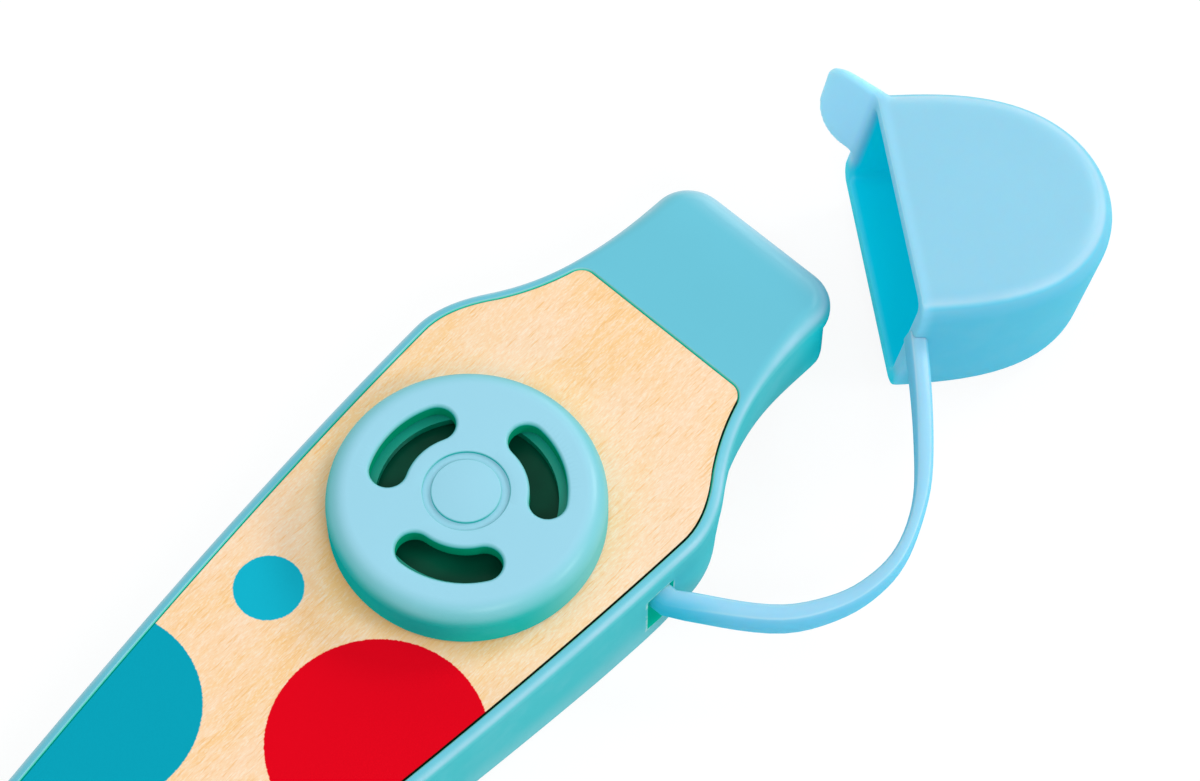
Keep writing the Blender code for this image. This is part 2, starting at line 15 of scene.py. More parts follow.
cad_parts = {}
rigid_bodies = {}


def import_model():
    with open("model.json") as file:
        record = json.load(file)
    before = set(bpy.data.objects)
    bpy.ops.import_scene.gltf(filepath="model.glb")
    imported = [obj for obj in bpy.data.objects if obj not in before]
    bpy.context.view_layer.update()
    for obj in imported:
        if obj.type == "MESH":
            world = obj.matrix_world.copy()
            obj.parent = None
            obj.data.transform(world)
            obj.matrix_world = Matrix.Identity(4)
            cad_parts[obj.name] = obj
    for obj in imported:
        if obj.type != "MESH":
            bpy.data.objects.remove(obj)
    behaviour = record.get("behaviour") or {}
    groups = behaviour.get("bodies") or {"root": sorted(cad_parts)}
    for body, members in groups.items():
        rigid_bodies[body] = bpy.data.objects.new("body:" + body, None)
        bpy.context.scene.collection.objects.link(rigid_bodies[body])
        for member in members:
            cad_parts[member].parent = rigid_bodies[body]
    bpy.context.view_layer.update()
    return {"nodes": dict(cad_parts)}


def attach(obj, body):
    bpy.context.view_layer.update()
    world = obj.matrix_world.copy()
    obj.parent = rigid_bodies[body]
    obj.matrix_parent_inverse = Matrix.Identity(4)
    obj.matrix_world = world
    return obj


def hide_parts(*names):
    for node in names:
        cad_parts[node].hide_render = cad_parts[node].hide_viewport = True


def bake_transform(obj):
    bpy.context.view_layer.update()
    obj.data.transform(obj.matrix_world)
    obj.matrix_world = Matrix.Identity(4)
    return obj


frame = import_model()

nodes = frame["nodes"]
print("nodes:", ", ".join(sorted(nodes)))

# %% [markdown]
# ## The camera
# The kazoo was seen from high over its tail, a little to the right, through a long lens.
# A camera can be turned by hand until the view fits, but angles found that way tell a
# reader little. Here it is aimed at a point near the turret and set back along one
# direction, so three plain facts place it: where it looks, from which way and how far.

# %% Camera
LOOK_AT = Vector((0.02076, -0.00014, 0.0130))
LOOK_FROM = Vector((-0.3515, -0.3215, 0.8792))
CAMERA_DISTANCE = 0.4297
CAMERA_LENS, FILM_WIDTH = 118.7, 36.0           # millimetres, as a photographer gives them
NEAREST_SEEN = 0.01


def aim(thing):
    """Puts a camera or a lamp in the scene, turned to what the picture is about."""
    thing.rotation_euler = (LOOK_AT - thing.location).to_track_quat("-Z", "Y").to_euler()
    bpy.context.scene.collection.objects.link(thing)


camera_data = bpy.data.cameras.new("studio_camera")
camera_data.sensor_width = FILM_WIDTH
camera_data.lens = CAMERA_LENS
camera_data.clip_start = NEAREST_SEEN
camera = bpy.data.objects.new("studio_camera", camera_data)
camera.location = LOOK_AT + CAMERA_DISTANCE * LOOK_FROM.normalized()
aim(camera)
bpy.context.scene.camera = camera
print("camera stands at", [round(c, 4) for c in camera.location])

# %% [markdown]
# ## The strap's route
# A silicone strap ties the cap to the body. It leaves the slot, swings out in one easy
# curve and ends on the side of the cap. A cubic curve with four pulls, the same as in the
# solid model, gives that sweep. A soft strap never lies quite so even, so a few gentle
# bumps set the line aside by fractions of a millimetre. Its ends run on into the slot and
# into the cap's wall, so no gap shows.

# %% Strap route
STRAP_PULLS = [Vector(p) for p in ((0.0084, -0.021351, 0.0082), (0.022483, -0.046243, 0.0082),
                                   (0.033257, -0.037138, 0.013858),
                                   (0.047386, -0.022562, 0.013826))]
STRAP_POINTS = 40
STRAP_INTO_SLOT, STRAP_INTO_CAP = 0.0016, 0.0017
# gentle bumps: middle and spread as shares of the curve, distance aside
STRAP_BUMPS = ((0.06, 0.04, -0.00012), (0.18, 0.07, 0.00034),
               (0.40, 0.07, -0.00013), (0.70, 0.08, 0.00014))
ROOT_SHARE = 0.09                               # share of the strap that counts as its root
ROOT_SHIFT = Vector((0.0001, 0.0, 0.0003))      # the root sits high in the slot
UPRIGHT = Vector((0, 0, 1))


def ease(t):
    """Smooth step from 0 to 1."""
    t = min(max(t, 0.0), 1.0)
    return t * t * (3 - 2 * t)


def strap_point(t):
    """Place on the strap's line, from t = 0 at the wall to t = 1 at the cap."""
    a, b, c, d = STRAP_PULLS
    point = (1 - t) ** 3 * a + 3 * t * (1 - t) ** 2 * b + 3 * t * t * (1 - t) * c + t ** 3 * d
    ahead = (1 - t) ** 2 * (b - a) + 2 * t * (1 - t) * (c - b) + t * t * (d - c)
    aside = ahead.cross(UPRIGHT).normalized()
    sway = sum(size * exp(-((t - middle) / spread) ** 2) for middle, spread, size in STRAP_BUMPS)
    return point + sway * aside + (1 - ease(t / ROOT_SHARE)) * ROOT_SHIFT


route = [strap_point(k / STRAP_POINTS) for k in range(STRAP_POINTS + 1)]
route.insert(0, route[0] + Vector((0.0, STRAP_INTO_SLOT, 0.0)))
route.append(route[-1] + STRAP_INTO_CAP * (STRAP_PULLS[3] - STRAP_PULLS[2]).normalized())
run = [0.0]
for here, there in zip(route, route[1:]):
    run.append(run[-1] + (there - here).length)
shares = [r / run[-1] for r in run]
print("strap length mm: %.1f" % (1000 * run[-1]))

# %% [markdown]
# ## Tools for swept pieces
# Most pieces here are a row of rings joined into one skin, which is called a loft. It could
# be done by hand with Bridge Edge Loops; a small function does the same and keeps each
# shape as a short rule. Numbers can be noted on the points for a finish to read later, and
# smooth shading stops at edges that are truly sharp.

# %% Mesh tools
SHARP_TURN = radians(32)            # an edge that turns by more than this stays sharp


def make_piece(name, bm):
    """Object from a bmesh, with its faces turned outwards."""
    bmesh.ops.recalc_face_normals(bm, faces=bm.faces)
    mesh = bpy.data.meshes.new(name)
    bm.to_mesh(mesh)
    bm.free()
    piece = bpy.data.objects.new(name, mesh)
    bpy.context.scene.collection.objects.link(piece)
    return piece


def join_rings(bm, rings):
    """Faces from each ring to the next; returns the rings as mesh points."""
    rows = [[bm.verts.new(p) for p in ring] for ring in rings]
    size = len(rows[0])
    for low, high in zip(rows, rows[1:]):
        for k in range(size):
            n = (k + 1) % size
            bm.faces.new((low[k], low[n], high[n], high[k]))
    return rows


def tube(name, rings):
    """Solid through a row of rings, with one flat face at each end."""
    bm = bmesh.new()
    rows = join_rings(bm, rings)
    bm.faces.new(rows[0])
    bm.faces.new(rows[-1])
    return make_piece(name, bm)


def note(piece, name, values):
    """Keeps one number for each point of a piece, for its finish to read."""
    mark = piece.data.attributes.new(name, "FLOAT", "POINT")
    mark.data.foreach_set("value", np.asarray(values, np.float32))


def soften(piece, angle=SHARP_TURN, flats=True):
    """Smooth shading that keeps sharp edges and lets flat faces stay flat."""
    piece.data.shade_smooth()
    piece.data.set_sharp_from_angle(angle=angle)
    if flats:
        piece.modifiers.new("flat_faces", "WEIGHTED_NORMAL").keep_sharp = True
    print(piece.name, "faces:", len(piece.data.polygons))


print("edges stay sharp over %.0f degrees" % degrees(SHARP_TURN))

# %% [markdown]
# ## The strap
# The strap is a moulded band, not a round cord: square where it sits in the slot, thin half
# way along, and rolled over a little before it meets the cap. A bevelled curve can't change
# its section like that, so a rounded oblong is swept along the route, ring by ring. The
# side that faces into the slot's shade gets a mark.

# %% Strap
# along the strap: share of its length, width, height
STRAP_SECTIONS = ((0.0, 0.0030, 0.0028), (0.04, 0.0029, 0.0029), (0.09, 0.0027, 0.0034),
                  (0.14, 0.0026, 0.0037), (0.28, 0.00256, 0.0037), (0.38, 0.0022, 0.0033),
                  (0.48, 0.0019, 0.0029), (0.57, 0.0015, 0.0026), (0.63, 0.0016, 0.0026),
                  (0.70, 0.0020, 0.0029), (0.78, 0.0021, 0.0029), (1.0, 0.0022, 0.0028))
SECTION_STEPS = 24
SECTION_SQUARE = 3.1                            # 2 is an oval, more is squarer
SLOT_ACROSS = Vector((-1, 0, 0))
STRAP_TWIST, TWIST_FROM = radians(16), 0.68
FADE_FROM, FADE_RUN = 0.03, 0.15                # along the strap, where the root's shade fades
FADE_SIDE, FADE_REACH = 0.4, 0.9                # round the strap, where it fades
STRAP_SHARP = radians(60)


def ironed(values, rounds=3):
    """Row of values with its corners ironed out."""
    for _ in range(rounds):
        inner = [(a + 2 * b + c) / 4 for a, b, c in zip(values, values[1:], values[2:])]
        values = [values[0]] + inner + [values[-1]]
    return values


section_turns = [2 * pi * m / SECTION_STEPS for m in range(SECTION_STEPS)]
section_shares, section_widths, section_heights = zip(*STRAP_SECTIONS)
widths = ironed(list(np.interp(shares, section_shares, section_widths)))
heights = ironed(list(np.interp(shares, section_shares, section_heights)))


def strap_ring(k):
    """Ring round the strap at one point of its route."""
    ahead = (route[min(k + 1, len(route) - 1)] - route[max(k - 1, 0)]).normalized()
    across = ahead.cross(UPRIGHT).normalized()
    square = 1 - ease(shares[k] / ROOT_SHARE)
    across = across.lerp(SLOT_ACROSS, square).normalized()
    roll = STRAP_TWIST * ease((shares[k] - TWIST_FROM) / (1 - TWIST_FROM))
    across = Matrix.Rotation(roll, 3, ahead) @ across
    upward = across.cross(ahead).normalized()
    ring = []
    for a in section_turns:
        u = copysign(widths[k] / 2 * abs(cos(a)) ** (2 / SECTION_SQUARE), cos(a))
        v = copysign(heights[k] / 2 * abs(sin(a)) ** (2 / SECTION_SQUARE), sin(a))
        ring.append(route[k] + u * across + v * upward)
    return ring


strap = tube("silicone_strap", [strap_ring(k) for k in range(len(route))])
shade_along = [1 - ease((share - FADE_FROM) / FADE_RUN) for share in shares]
shade_round = [ease((cos(a) + FADE_SIDE) / FADE_REACH) for a in section_turns]
note(strap, "root", [s * r for s in shade_along for r in shade_round])
soften(strap, STRAP_SHARP, flats=False)
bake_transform(strap)
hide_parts("cap_strap")

# %% [markdown]
# ## The body's outline
# Seen from above the body is a long paddle: it widens from the tail to the shoulder beside
# the turret, flares in through a hollow curve, and runs out into the mouthpiece. It could
# be drawn by hand as a curve, but cubics with known slopes at their joints give the same
# line without any kink, and can be asked for the width at any place.

# %% Body outline
TIP_REACH, TAIL_REACH = 0.0485, 0.075
SHOULDER_X, SHOULDER_HALF, SHOULDER_TURN = 0.0132, 0.02045, radians(2.3)
FLARE_X, FLARE_HALF, FLARE_TURN = 0.0216, 0.0175, radians(-34.6)
TIP_HALF, TIP_CORNER = 0.01195, 0.0047
TAIL_HALF, TAIL_CORNER, TAIL_TURN = 0.0115, 0.006, radians(8)
SLOPE_SPAN = 0.0001                 # half the run over which a slope is measured


def easy_line(x, x0, y0, m0, x1, y1, m1):
    """Cubic through two points with given slopes."""
    width = x1 - x0
    t = (x - x0) / width
    level = (1 + 2 * t) * (1 - t) ** 2 * y0 + t * t * (3 - 2 * t) * y1
    return level + width * (t * (1 - t) ** 2 * m0 - t * t * (1 - t) * m1)


def half_width(x):
    """Half the body's width, without its rounded ends."""
    if x < SHOULDER_X:
        return easy_line(x, -TAIL_REACH, TAIL_HALF, tan(TAIL_TURN),
                         SHOULDER_X, SHOULDER_HALF, tan(SHOULDER_TURN))
    if x < FLARE_X:
        return easy_line(x, SHOULDER_X, SHOULDER_HALF, tan(SHOULDER_TURN),
                         FLARE_X, FLARE_HALF, tan(FLARE_TURN))
    end = TIP_REACH - TIP_CORNER / 2
    return easy_line(min(x, end), FLARE_X, FLARE_HALF, tan(FLARE_TURN), end, TIP_HALF, 0.0)


def inset_half(x, inset):
    """Half width of the outline moved inwards, square to itself."""
    slope = (half_width(x + SLOPE_SPAN) - half_width(x - SLOPE_SPAN)) / (2 * SLOPE_SPAN)
    return half_width(x) - inset * sqrt(1 + slope * slope)


print("widest place mm: %.1f" % (2000 * half_width(SHOULDER_X)))

# %% [markdown]
# ## Rings seen from above
# Body, recess, board and cover share that outline, each moved inwards by its own amount. So
# one function walks its left side from tail to tip, rounds both corners and sets points
# closer together where the line bends. Another lifts the line to any height and mirrors
# it, which keeps both sides alike.

# %% Plan rings
END_CORNER_STEPS = 12
LONG_SPACING, BEND_SPACING = 0.0024, 0.0008     # between points, behind and before the shoulder


def quarter(steps):
    """Angles of a quarter turn."""
    return [k * pi / 2 / steps for k in range(steps + 1)]


def mirrored(left):
    """Closed ring from the points of its left side."""
    return left + [(x, -y, z) for x, y, z in reversed(left)]


def plan_left(inset, back, back_corner, front, front_corner):
    """Left side of a plan outline, tail to tip, with round corners at both ends."""
    start, stop = back + back_corner, front - front_corner
    points = []
    for a in quarter(END_CORNER_STEPS)[:-1]:
        x = start - back_corner * cos(a)
        points.append((x, inset_half(x, inset) - back_corner * (1 - sin(a))))
    bends = [start] + [b for b in (SHOULDER_X, FLARE_X) if start < b < stop] + [stop]
    for low, high in zip(bends, bends[1:]):
        spacing = LONG_SPACING if high <= SHOULDER_X else BEND_SPACING
        count = ceil((high - low) / spacing)
        for k in range(count):
            x = low + (high - low) * k / count
            points.append((x, inset_half(x, inset)))
    for a in quarter(END_CORNER_STEPS):
        x = stop + front_corner * sin(a)
        points.append((x, inset_half(x, inset) - front_corner * (1 - cos(a))))
    return points


def outward(points):
    """Outward direction at each point of a left side."""
    result = []
    for k in range(len(points)):
        a, b = points[max(k - 1, 0)], points[min(k + 1, len(points) - 1)]
        dx, dy = b[0] - a[0], b[1] - a[1]
        size = hypot(dx, dy)
        result.append((-dy / size, dx / size))
    result[0], result[-1] = (-1.0, 0.0), (1.0, 0.0)
    return result


def plan_rings(points, levels):
    """Rings over a left side; each level is a rule that gives inset and height."""
    away = outward(points)
    rings = []
    for level in levels:
        left = []
        for (x, y), (nx, ny) in zip(points, away):
            inset, z = level(x, nx)
            left.append((x - nx * inset, y - ny * inset, z))
        rings.append(mirrored(left))
    return rings


def same(inset, z):
    """Level that is the same all round."""
    return lambda x, nx: (inset, z)


outer = plan_left(0.0, -TAIL_REACH, TAIL_CORNER, TIP_REACH, TIP_CORNER)
print("points on one side of the body:", len(outer))

# %% [markdown]
# ## The body's profile
# From the side, the underside is flat under the turret, hollow under the neck, deep again
# at the jaw and a little raised at the tail. The rim is rounded; at the mouthpiece it
# swells into a full lip, whose nose falls towards the tip. Sculpting could give all this,
# but here each is a rule of the place along the body, which the rings then follow.

# %% Body profile
BODY_HEIGHT = 0.0132
KEEL_BACK, KEEL_FRONT = 0.034, 0.0065
NECK_RISE, NECK_BACK_X, NECK_FRONT_X = 0.0039, 0.0235, 0.031
JAW_RISE, JAW_BACK, JAW_ROUND = 0.0013, 0.0035, 0.0022
TAIL_RISE = 0.0025
EDGE_ROUND, EDGE_TURN, EDGE_ROUND_MOST = 0.0012, radians(4), 0.004
NOSE_BACK, NOSE_DROP = 0.0395, 0.0008
LIP_OVERHANG, DRAW_BACK, DRAW_FRONT = 0.00115, 0.0155, 0.0220


def nose(x):
    """Share of the mouthpiece's fall towards its tip."""
    return max((x - NOSE_BACK) / (TIP_REACH - NOSE_BACK), 0.0) ** 2


def keel(x):
    """Height of the underside."""
    jaw_x = TIP_REACH - JAW_BACK
    if x > NECK_FRONT_X:
        return NECK_RISE + (JAW_RISE - NECK_RISE) * ease((x - NECK_FRONT_X) / (jaw_x - NECK_FRONT_X))
    if x > KEEL_FRONT:
        return NECK_RISE * ease((x - KEEL_FRONT) / (NECK_BACK_X - KEEL_FRONT))
    if x < -KEEL_BACK:
        return TAIL_RISE * ((-KEEL_BACK - x) / (TAIL_REACH - KEEL_BACK)) ** 2
    return 0.0


def edge_round(x):
    """Rounding of the lower edge."""
    tail = min(EDGE_ROUND + tan(EDGE_TURN) * max(-x, 0.0), EDGE_ROUND_MOST)
    jaw = ease((x - NECK_FRONT_X) / (TIP_REACH - TIP_CORNER - NECK_FRONT_X))
    return tail + (JAW_ROUND - EDGE_ROUND) * jaw


def jaw_back(x, nx):
    """How far the foot of the wall is drawn in where it turns to the front."""
    return LIP_OVERHANG * max(nx, 0.0) * ease((x - DRAW_BACK) / (DRAW_FRONT - DRAW_BACK))


def under_lip(x, nx):
    """How far the wall is set back right under the lip: at the tip alone."""
    return jaw_back(x, nx) * ease((x - NOSE_BACK) / (TIP_REACH - TIP_CORNER - NOSE_BACK))


print("underside of the neck and the jaw mm: %.1f, %.1f"
      % (1000 * keel(NECK_FRONT_X), 1000 * keel(TIP_REACH)))

# %% [markdown]
# ## The body shell
# The body is one plastic moulding. Its skin is a row of rings from the underside to the
# rim: a rounded lower edge, the wall with its foot drawn in, a small step under the lip,
# and the rounded rim. A loft is chosen over a modelled box because the flare and the lip
# then come from one outline. The rings are mirror images left and right, so strips that
# run from side to side can close the flat top and bottom.

# %% Body shell
PANEL_FRONT = 0.03085
RIM_ROUND, LIP_ROUND = 0.0013, 0.0024
LIP_THICK, LIP_LEDGE = 0.0033, 0.0005
EDGE_STEPS = 8


def skin(name, rings):
    """Solid through a row of mirrored rings, closed by strips from side to side."""
    bm = bmesh.new()
    rows = join_rings(bm, rings)
    size = len(rows[0])
    for row in (rows[0], rows[-1]):
        for k in range(size // 2 - 1):
            bm.faces.new((row[k], row[k + 1], row[size - 2 - k], row[size - 1 - k]))
    return make_piece(name, bm)


def lower_level(a):
    """Ring of the rounded lower edge, at one angle of its quarter turn."""
    return lambda x, nx: (edge_round(x) * (1 - sin(a)) + jaw_back(x, nx),
                          keel(x) + edge_round(x) * (1 - cos(a)))


def upper_level(a):
    """Ring of the rounded rim, at one angle of its quarter turn."""
    def level(x, nx):
        swell = ease((x - PANEL_FRONT) / (TIP_REACH - TIP_CORNER - PANEL_FRONT))
        rounding = RIM_ROUND + (LIP_ROUND - RIM_ROUND) * swell
        inset = rounding * (1 - cos(a))
        return inset, BODY_HEIGHT - NOSE_DROP * nose(x - nx * inset) - rounding * (1 - sin(a))
    return level


lip_bottom = BODY_HEIGHT - LIP_THICK
body_levels = [lower_level(a) for a in quarter(EDGE_STEPS)]
body_levels.append(lambda x, nx: (under_lip(x, nx), lip_bottom - LIP_LEDGE))
body_levels.append(same(0.0, lip_bottom))
body_levels += [upper_level(a) for a in quarter(EDGE_STEPS)]
body = skin("moulded_body", plan_rings(outer, body_levels))
print("body loft faces:", len(body.data.polygons))

# %% [markdown]
# ## The recess for the wood
# The wood lies in a shallow recess inside a narrow rim, whose inner edge is broken by a
# tiny chamfer. Inset and extrude could make it, but a tool that is taken away with the
# exact Boolean keeps the rim even all round. The Boolean is applied at once, so that no
# tool is left behind.

# %% Recess
RIM_WIDTH, RIM_CHAMFER = 0.00132, 0.00018
PANEL_GAP, PANEL_CORNER = 0.00028, 0.0013
DECK_TOP, DECK_BOTTOM = 0.0111, 0.0099
TOOL_FLARE = 0.001                  # a chamfering tool runs on this far past the face


def settle(piece):
    """Applies a piece's modifiers to its mesh."""
    bpy.context.view_layer.update()
    graph = bpy.context.evaluated_depsgraph_get()
    mesh = bpy.data.meshes.new_from_object(piece.evaluated_get(graph))
    piece.modifiers.clear()
    piece.data = mesh
    mesh.name = piece.name


def carve(piece, tool, operation="DIFFERENCE"):
    """Boolean with a helper object, which is then thrown away."""
    modifier = piece.modifiers.new("carve", "BOOLEAN")
    modifier.operation = operation
    modifier.solver = "EXACT"
    modifier.object = tool
    settle(piece)
    bpy.data.objects.remove(tool, do_unlink=True)
    print(piece.name, "faces after", operation.lower() + ":", len(piece.data.polygons))


recess = plan_left(RIM_WIDTH, -TAIL_REACH + RIM_WIDTH, TAIL_CORNER - RIM_WIDTH,
                   PANEL_FRONT + PANEL_GAP, PANEL_CORNER + PANEL_GAP)
carve(body, skin("recess_tool", plan_rings(recess, [
    same(0.0, DECK_TOP), same(0.0, BODY_HEIGHT - RIM_CHAMFER), same(-RIM_CHAMFER, BODY_HEIGHT),
    same(-RIM_CHAMFER - TOOL_FLARE, BODY_HEIGHT + TOOL_FLARE)])))

# %% [markdown]
# ## The air way
# A kazoo is hollow: breath goes in at the mouthpiece, under the turret and out at the tail.
# The tool for this hollow is another loft, of rings across the body, each with the width
# and height that leave the walls their thickness. Towards the tip it is drawn in and
# lowered, so that the mouth opening stays whole under the falling lip.

# %% Air way
WALL, FLOOR, NECK_FLOOR, ROOF = 0.002, 0.0024, 0.0014, 0.0018
CHAMBER_ROUND, CHAMBER_CORNER_STEPS, CHAMBER_STEPS = 0.0008, 4, 80
ROOF_STEP = 0.0026                  # run over which the roof rises, past the board
MOUTH_DROP, MOUTH_PINCH = 0.0021, 0.0017
PAST = 0.004                        # how far a tool reaches past what it cuts
chamber_back, chamber_front = -TAIL_REACH + WALL, TIP_REACH + PAST


def cross_ring(x, half, low, high):
    """Ring across the body, with rounded corners."""
    left = []
    for a in quarter(CHAMBER_CORNER_STEPS):
        left.append((x, half - CHAMBER_ROUND * (1 - sin(a)), low + CHAMBER_ROUND * (1 - cos(a))))
    for a in quarter(CHAMBER_CORNER_STEPS):
        left.append((x, half - CHAMBER_ROUND * (1 - cos(a)), high - CHAMBER_ROUND * (1 - sin(a))))
    return mirrored(left)


def chamber_ring(x):
    """Ring of the air way at one place along the body."""
    inside = min(x, TIP_REACH - TIP_CORNER)
    thin = ease((x - KEEL_FRONT) / (NECK_BACK_X - KEEL_FRONT))
    low = keel(inside) + FLOOR + (NECK_FLOOR - FLOOR) * thin
    high = DECK_BOTTOM + (BODY_HEIGHT - ROOF - DECK_BOTTOM) * ease((x - PANEL_FRONT) / ROOF_STEP)
    at_tip = min(nose(x), 1.0)
    high -= MOUTH_DROP * at_tip
    corner = max(TAIL_CORNER - WALL - (x - chamber_back), 0.0)
    half = inset_half(inside, WALL) - corner - MOUTH_PINCH * at_tip
    return cross_ring(x, half, low, high)


carve(body, skin("air_way_tool", [
    chamber_ring(chamber_back + (chamber_front - chamber_back) * k / CHAMBER_STEPS)
    for k in range(CHAMBER_STEPS + 1)]))

# %% [markdown]
# ## Collar and sound hole
# A round collar under the turret carries the membrane. It stays out of sight, but its sound
# hole shows dark through the turret's windows, so both are made: the collar is added to the
# body, then the hole is bored through it. Round things are turned, as on a lathe, from a
# profile of radius and height.

# %% Collar
COLLAR_RADIUS, COLLAR_WALL, COLLAR_TOP, COLLAR_FOOT = 0.012, 0.0021, 0.0150, 0.0105
COLLAR_SPARE = 0.0006               # left inside the collar for the bore to take off
BORE_TOP, BORE_FOOT = 0.019, 0.0087
BORE_STEPS = 96
WELD_DISTANCE = 1e-7


def turned(name, profile, steps):
    """Solid turned about Z from a closed profile of (radius, height)."""
    bm = bmesh.new()
    columns = []
    for k in range(steps):
        a = 2 * pi * k / steps
        columns.append([bm.verts.new((r * cos(a), r * sin(a), z)) for r, z in profile])
    for k in range(steps):
        here, there = columns[k], columns[(k + 1) % steps]
        for m in range(len(profile)):
            n = (m + 1) % len(profile)
            if profile[m][0] or profile[n][0]:
                bm.faces.new((here[m], here[n], there[n], there[m]))
    bmesh.ops.remove_doubles(bm, verts=bm.verts, dist=WELD_DISTANCE)
    return make_piece(name, bm)


def bore(name, radius, top, foot):
    """Round tool about the turret's axis."""
    return turned(name, [(0.0, top), (radius, top), (radius, foot), (0.0, foot)], BORE_STEPS)


collar_hole = COLLAR_RADIUS - COLLAR_WALL
collar_inside = collar_hole - COLLAR_SPARE
carve(body, turned("collar", [(COLLAR_RADIUS, COLLAR_TOP), (COLLAR_RADIUS, COLLAR_FOOT),
                              (collar_inside, COLLAR_FOOT), (collar_inside, COLLAR_TOP)],
                   BORE_STEPS), "UNION")
carve(body, bore("sound_hole_tool", collar_hole, BORE_TOP, BORE_FOOT))

# %% [markdown]
# ## Sound opening and strap slot
# The tail has an opening for the sound, and the right wall a slot for the strap. Both are
# cut with plain blocks whose edges along one axis are rounded, since a mould leaves such
# openings straight, with blunt corners.

# %% Tail opening and slot
TAIL_HOLE_WIDTH, TAIL_HOLE_HEIGHT, TAIL_HOLE_CORNER = 0.013, 0.0048, 0.0018
SLOT_X, SLOT_WIDTH, SLOT_HEIGHT, SLOT_CORNER = 0.0084, 0.0038, 0.0066, 0.0004
TAIL_TOOL_DEPTH, SLOT_TOOL_DEPTH = 0.012, 0.0046
BLOCK_CORNER_STEPS = 6
ALIGNED = 0.9                       # an edge this true to an axis runs along it


def block_tool(name, size, place, rounding, axis):
    """Box for cutting, with the edges along one axis rounded."""
    bm = bmesh.new()
    bmesh.ops.create_cube(bm, size=1.0, matrix=Matrix.Diagonal((*size, 1.0)))
    long_edges = []
    for edge in bm.edges:
        if abs((edge.verts[0].co - edge.verts[1].co).normalized()[axis]) > ALIGNED:
            long_edges.append(edge)
    bmesh.ops.bevel(bm, geom=long_edges, offset=rounding, segments=BLOCK_CORNER_STEPS,
                    profile=0.5, affect="EDGES")
    bmesh.ops.translate(bm, verts=bm.verts, vec=place)
    return make_piece(name, bm)


tail_middle = (keel(chamber_back) + FLOOR + DECK_BOTTOM) / 2
carve(body, block_tool("tail_tool", (TAIL_TOOL_DEPTH, TAIL_HOLE_WIDTH, TAIL_HOLE_HEIGHT),
                       (-TAIL_REACH, 0.0, tail_middle), TAIL_HOLE_CORNER, 0))
slot_y = -half_width(SLOT_X)
slot_middle = DECK_BOTTOM - SLOT_HEIGHT / 2
carve(body, block_tool("slot_tool", (SLOT_WIDTH, SLOT_TOOL_DEPTH, SLOT_HEIGHT),
                       (SLOT_X, slot_y, slot_middle), SLOT_CORNER, 1))

# %% [markdown]
# ## Seat of the cover
# A flat cover closes the underside; the frame's own solid shows it. The body needs its
# seat: a shallow pocket with a broken edge, and inside that a hatch through to the hollow.
# Both follow the body's outline, so the same rings serve again.

# %% Cover seat
COVER_INSET, COVER_LEDGE, COVER_CORNER, COVER_THICK = 0.0054, 0.0015, 0.003, 0.0011
COVER_ENDS = 0.0015                 # the seat stops this far inside the flat underside
SEAT_CHAMFER, SEAT_ROOM = 0.00015, 0.0003
HATCH_PAST = 0.002

seat = plan_left(COVER_INSET, -KEEL_BACK + COVER_ENDS, COVER_CORNER,
                 KEEL_FRONT - COVER_ENDS, COVER_CORNER)
carve(body, skin("seat_tool", plan_rings(seat, [
    same(-TOOL_FLARE, -TOOL_FLARE), same(-SEAT_CHAMFER, 0.0), same(0.0, SEAT_CHAMFER),
    same(0.0, COVER_THICK + SEAT_ROOM)])))
hatch_ends, hatch_corner = COVER_ENDS + COVER_LEDGE, COVER_CORNER - COVER_LEDGE
hatch = plan_left(COVER_INSET + COVER_LEDGE, -KEEL_BACK + hatch_ends, hatch_corner,
                  KEEL_FRONT - hatch_ends, hatch_corner)
carve(body, skin("hatch_tool", plan_rings(hatch, [
    same(0.0, COVER_THICK), same(0.0, FLOOR + HATCH_PAST)])))

# %% [markdown]
# ## Marks on the body
# The rim's narrow inner wall lies in shade between the rim and the board, and gets a
# painted deeper green shade with a faint painted glow. A finish can't know where that wall
# is, so the points on it are marked for the finish to read. Then the body is tied to the
# frame's part.

# %% Body marks
NEAR = 0.00003                      # closer than this counts as touching


def places(piece):
    """Coordinates of a piece's points, one row for each."""
    return np.array([v.co for v in piece.data.vertices])


def in_rim(x, y, z):
    """Whether points lie on the wall of the recess."""
    halves = np.array([inset_half(place, RIM_WIDTH) for place in x])
    in_plan = (np.abs(y) < halves + NEAR) & (x < PANEL_FRONT + PANEL_GAP + NEAR)
    in_height = (z > DECK_TOP - NEAR) & (z < BODY_HEIGHT - RIM_CHAMFER / 2)
    return in_plan & in_height & (x > -TAIL_REACH + TAIL_CORNER)


# mark for the painted shade on the rim's inner wall
note(body, "sunk_shade", in_rim(*places(body).T))
soften(body)
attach(body, "body")
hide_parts("body_shell")

# %% [markdown]
# ## The wooden panel
# A thin board, cut to the recess with a hair of room all round and pushed to one side, as
# glued boards are. Its upper edge is eased by sanding. A bevel modifier could ease it; two
# narrow sloping bands in the loft do the same and stay even round the corners.

# %% Wooden panel
PANEL_BOTTOM, PANEL_TOP = 0.0114, 0.0130
PANEL_EASE, EASE_BREAK = 0.00012, 0.3           # sanded edge, and where its slope changes
PANEL_ROOM = 0.00016
PANEL_PUSH = Vector((0.00008, 0.00009, 0.0))    # to the front and the left
HOLE_ROOM, HOLE_TOOL_TOP, HOLE_TOOL_FOOT = 0.0003, 0.016, 0.009

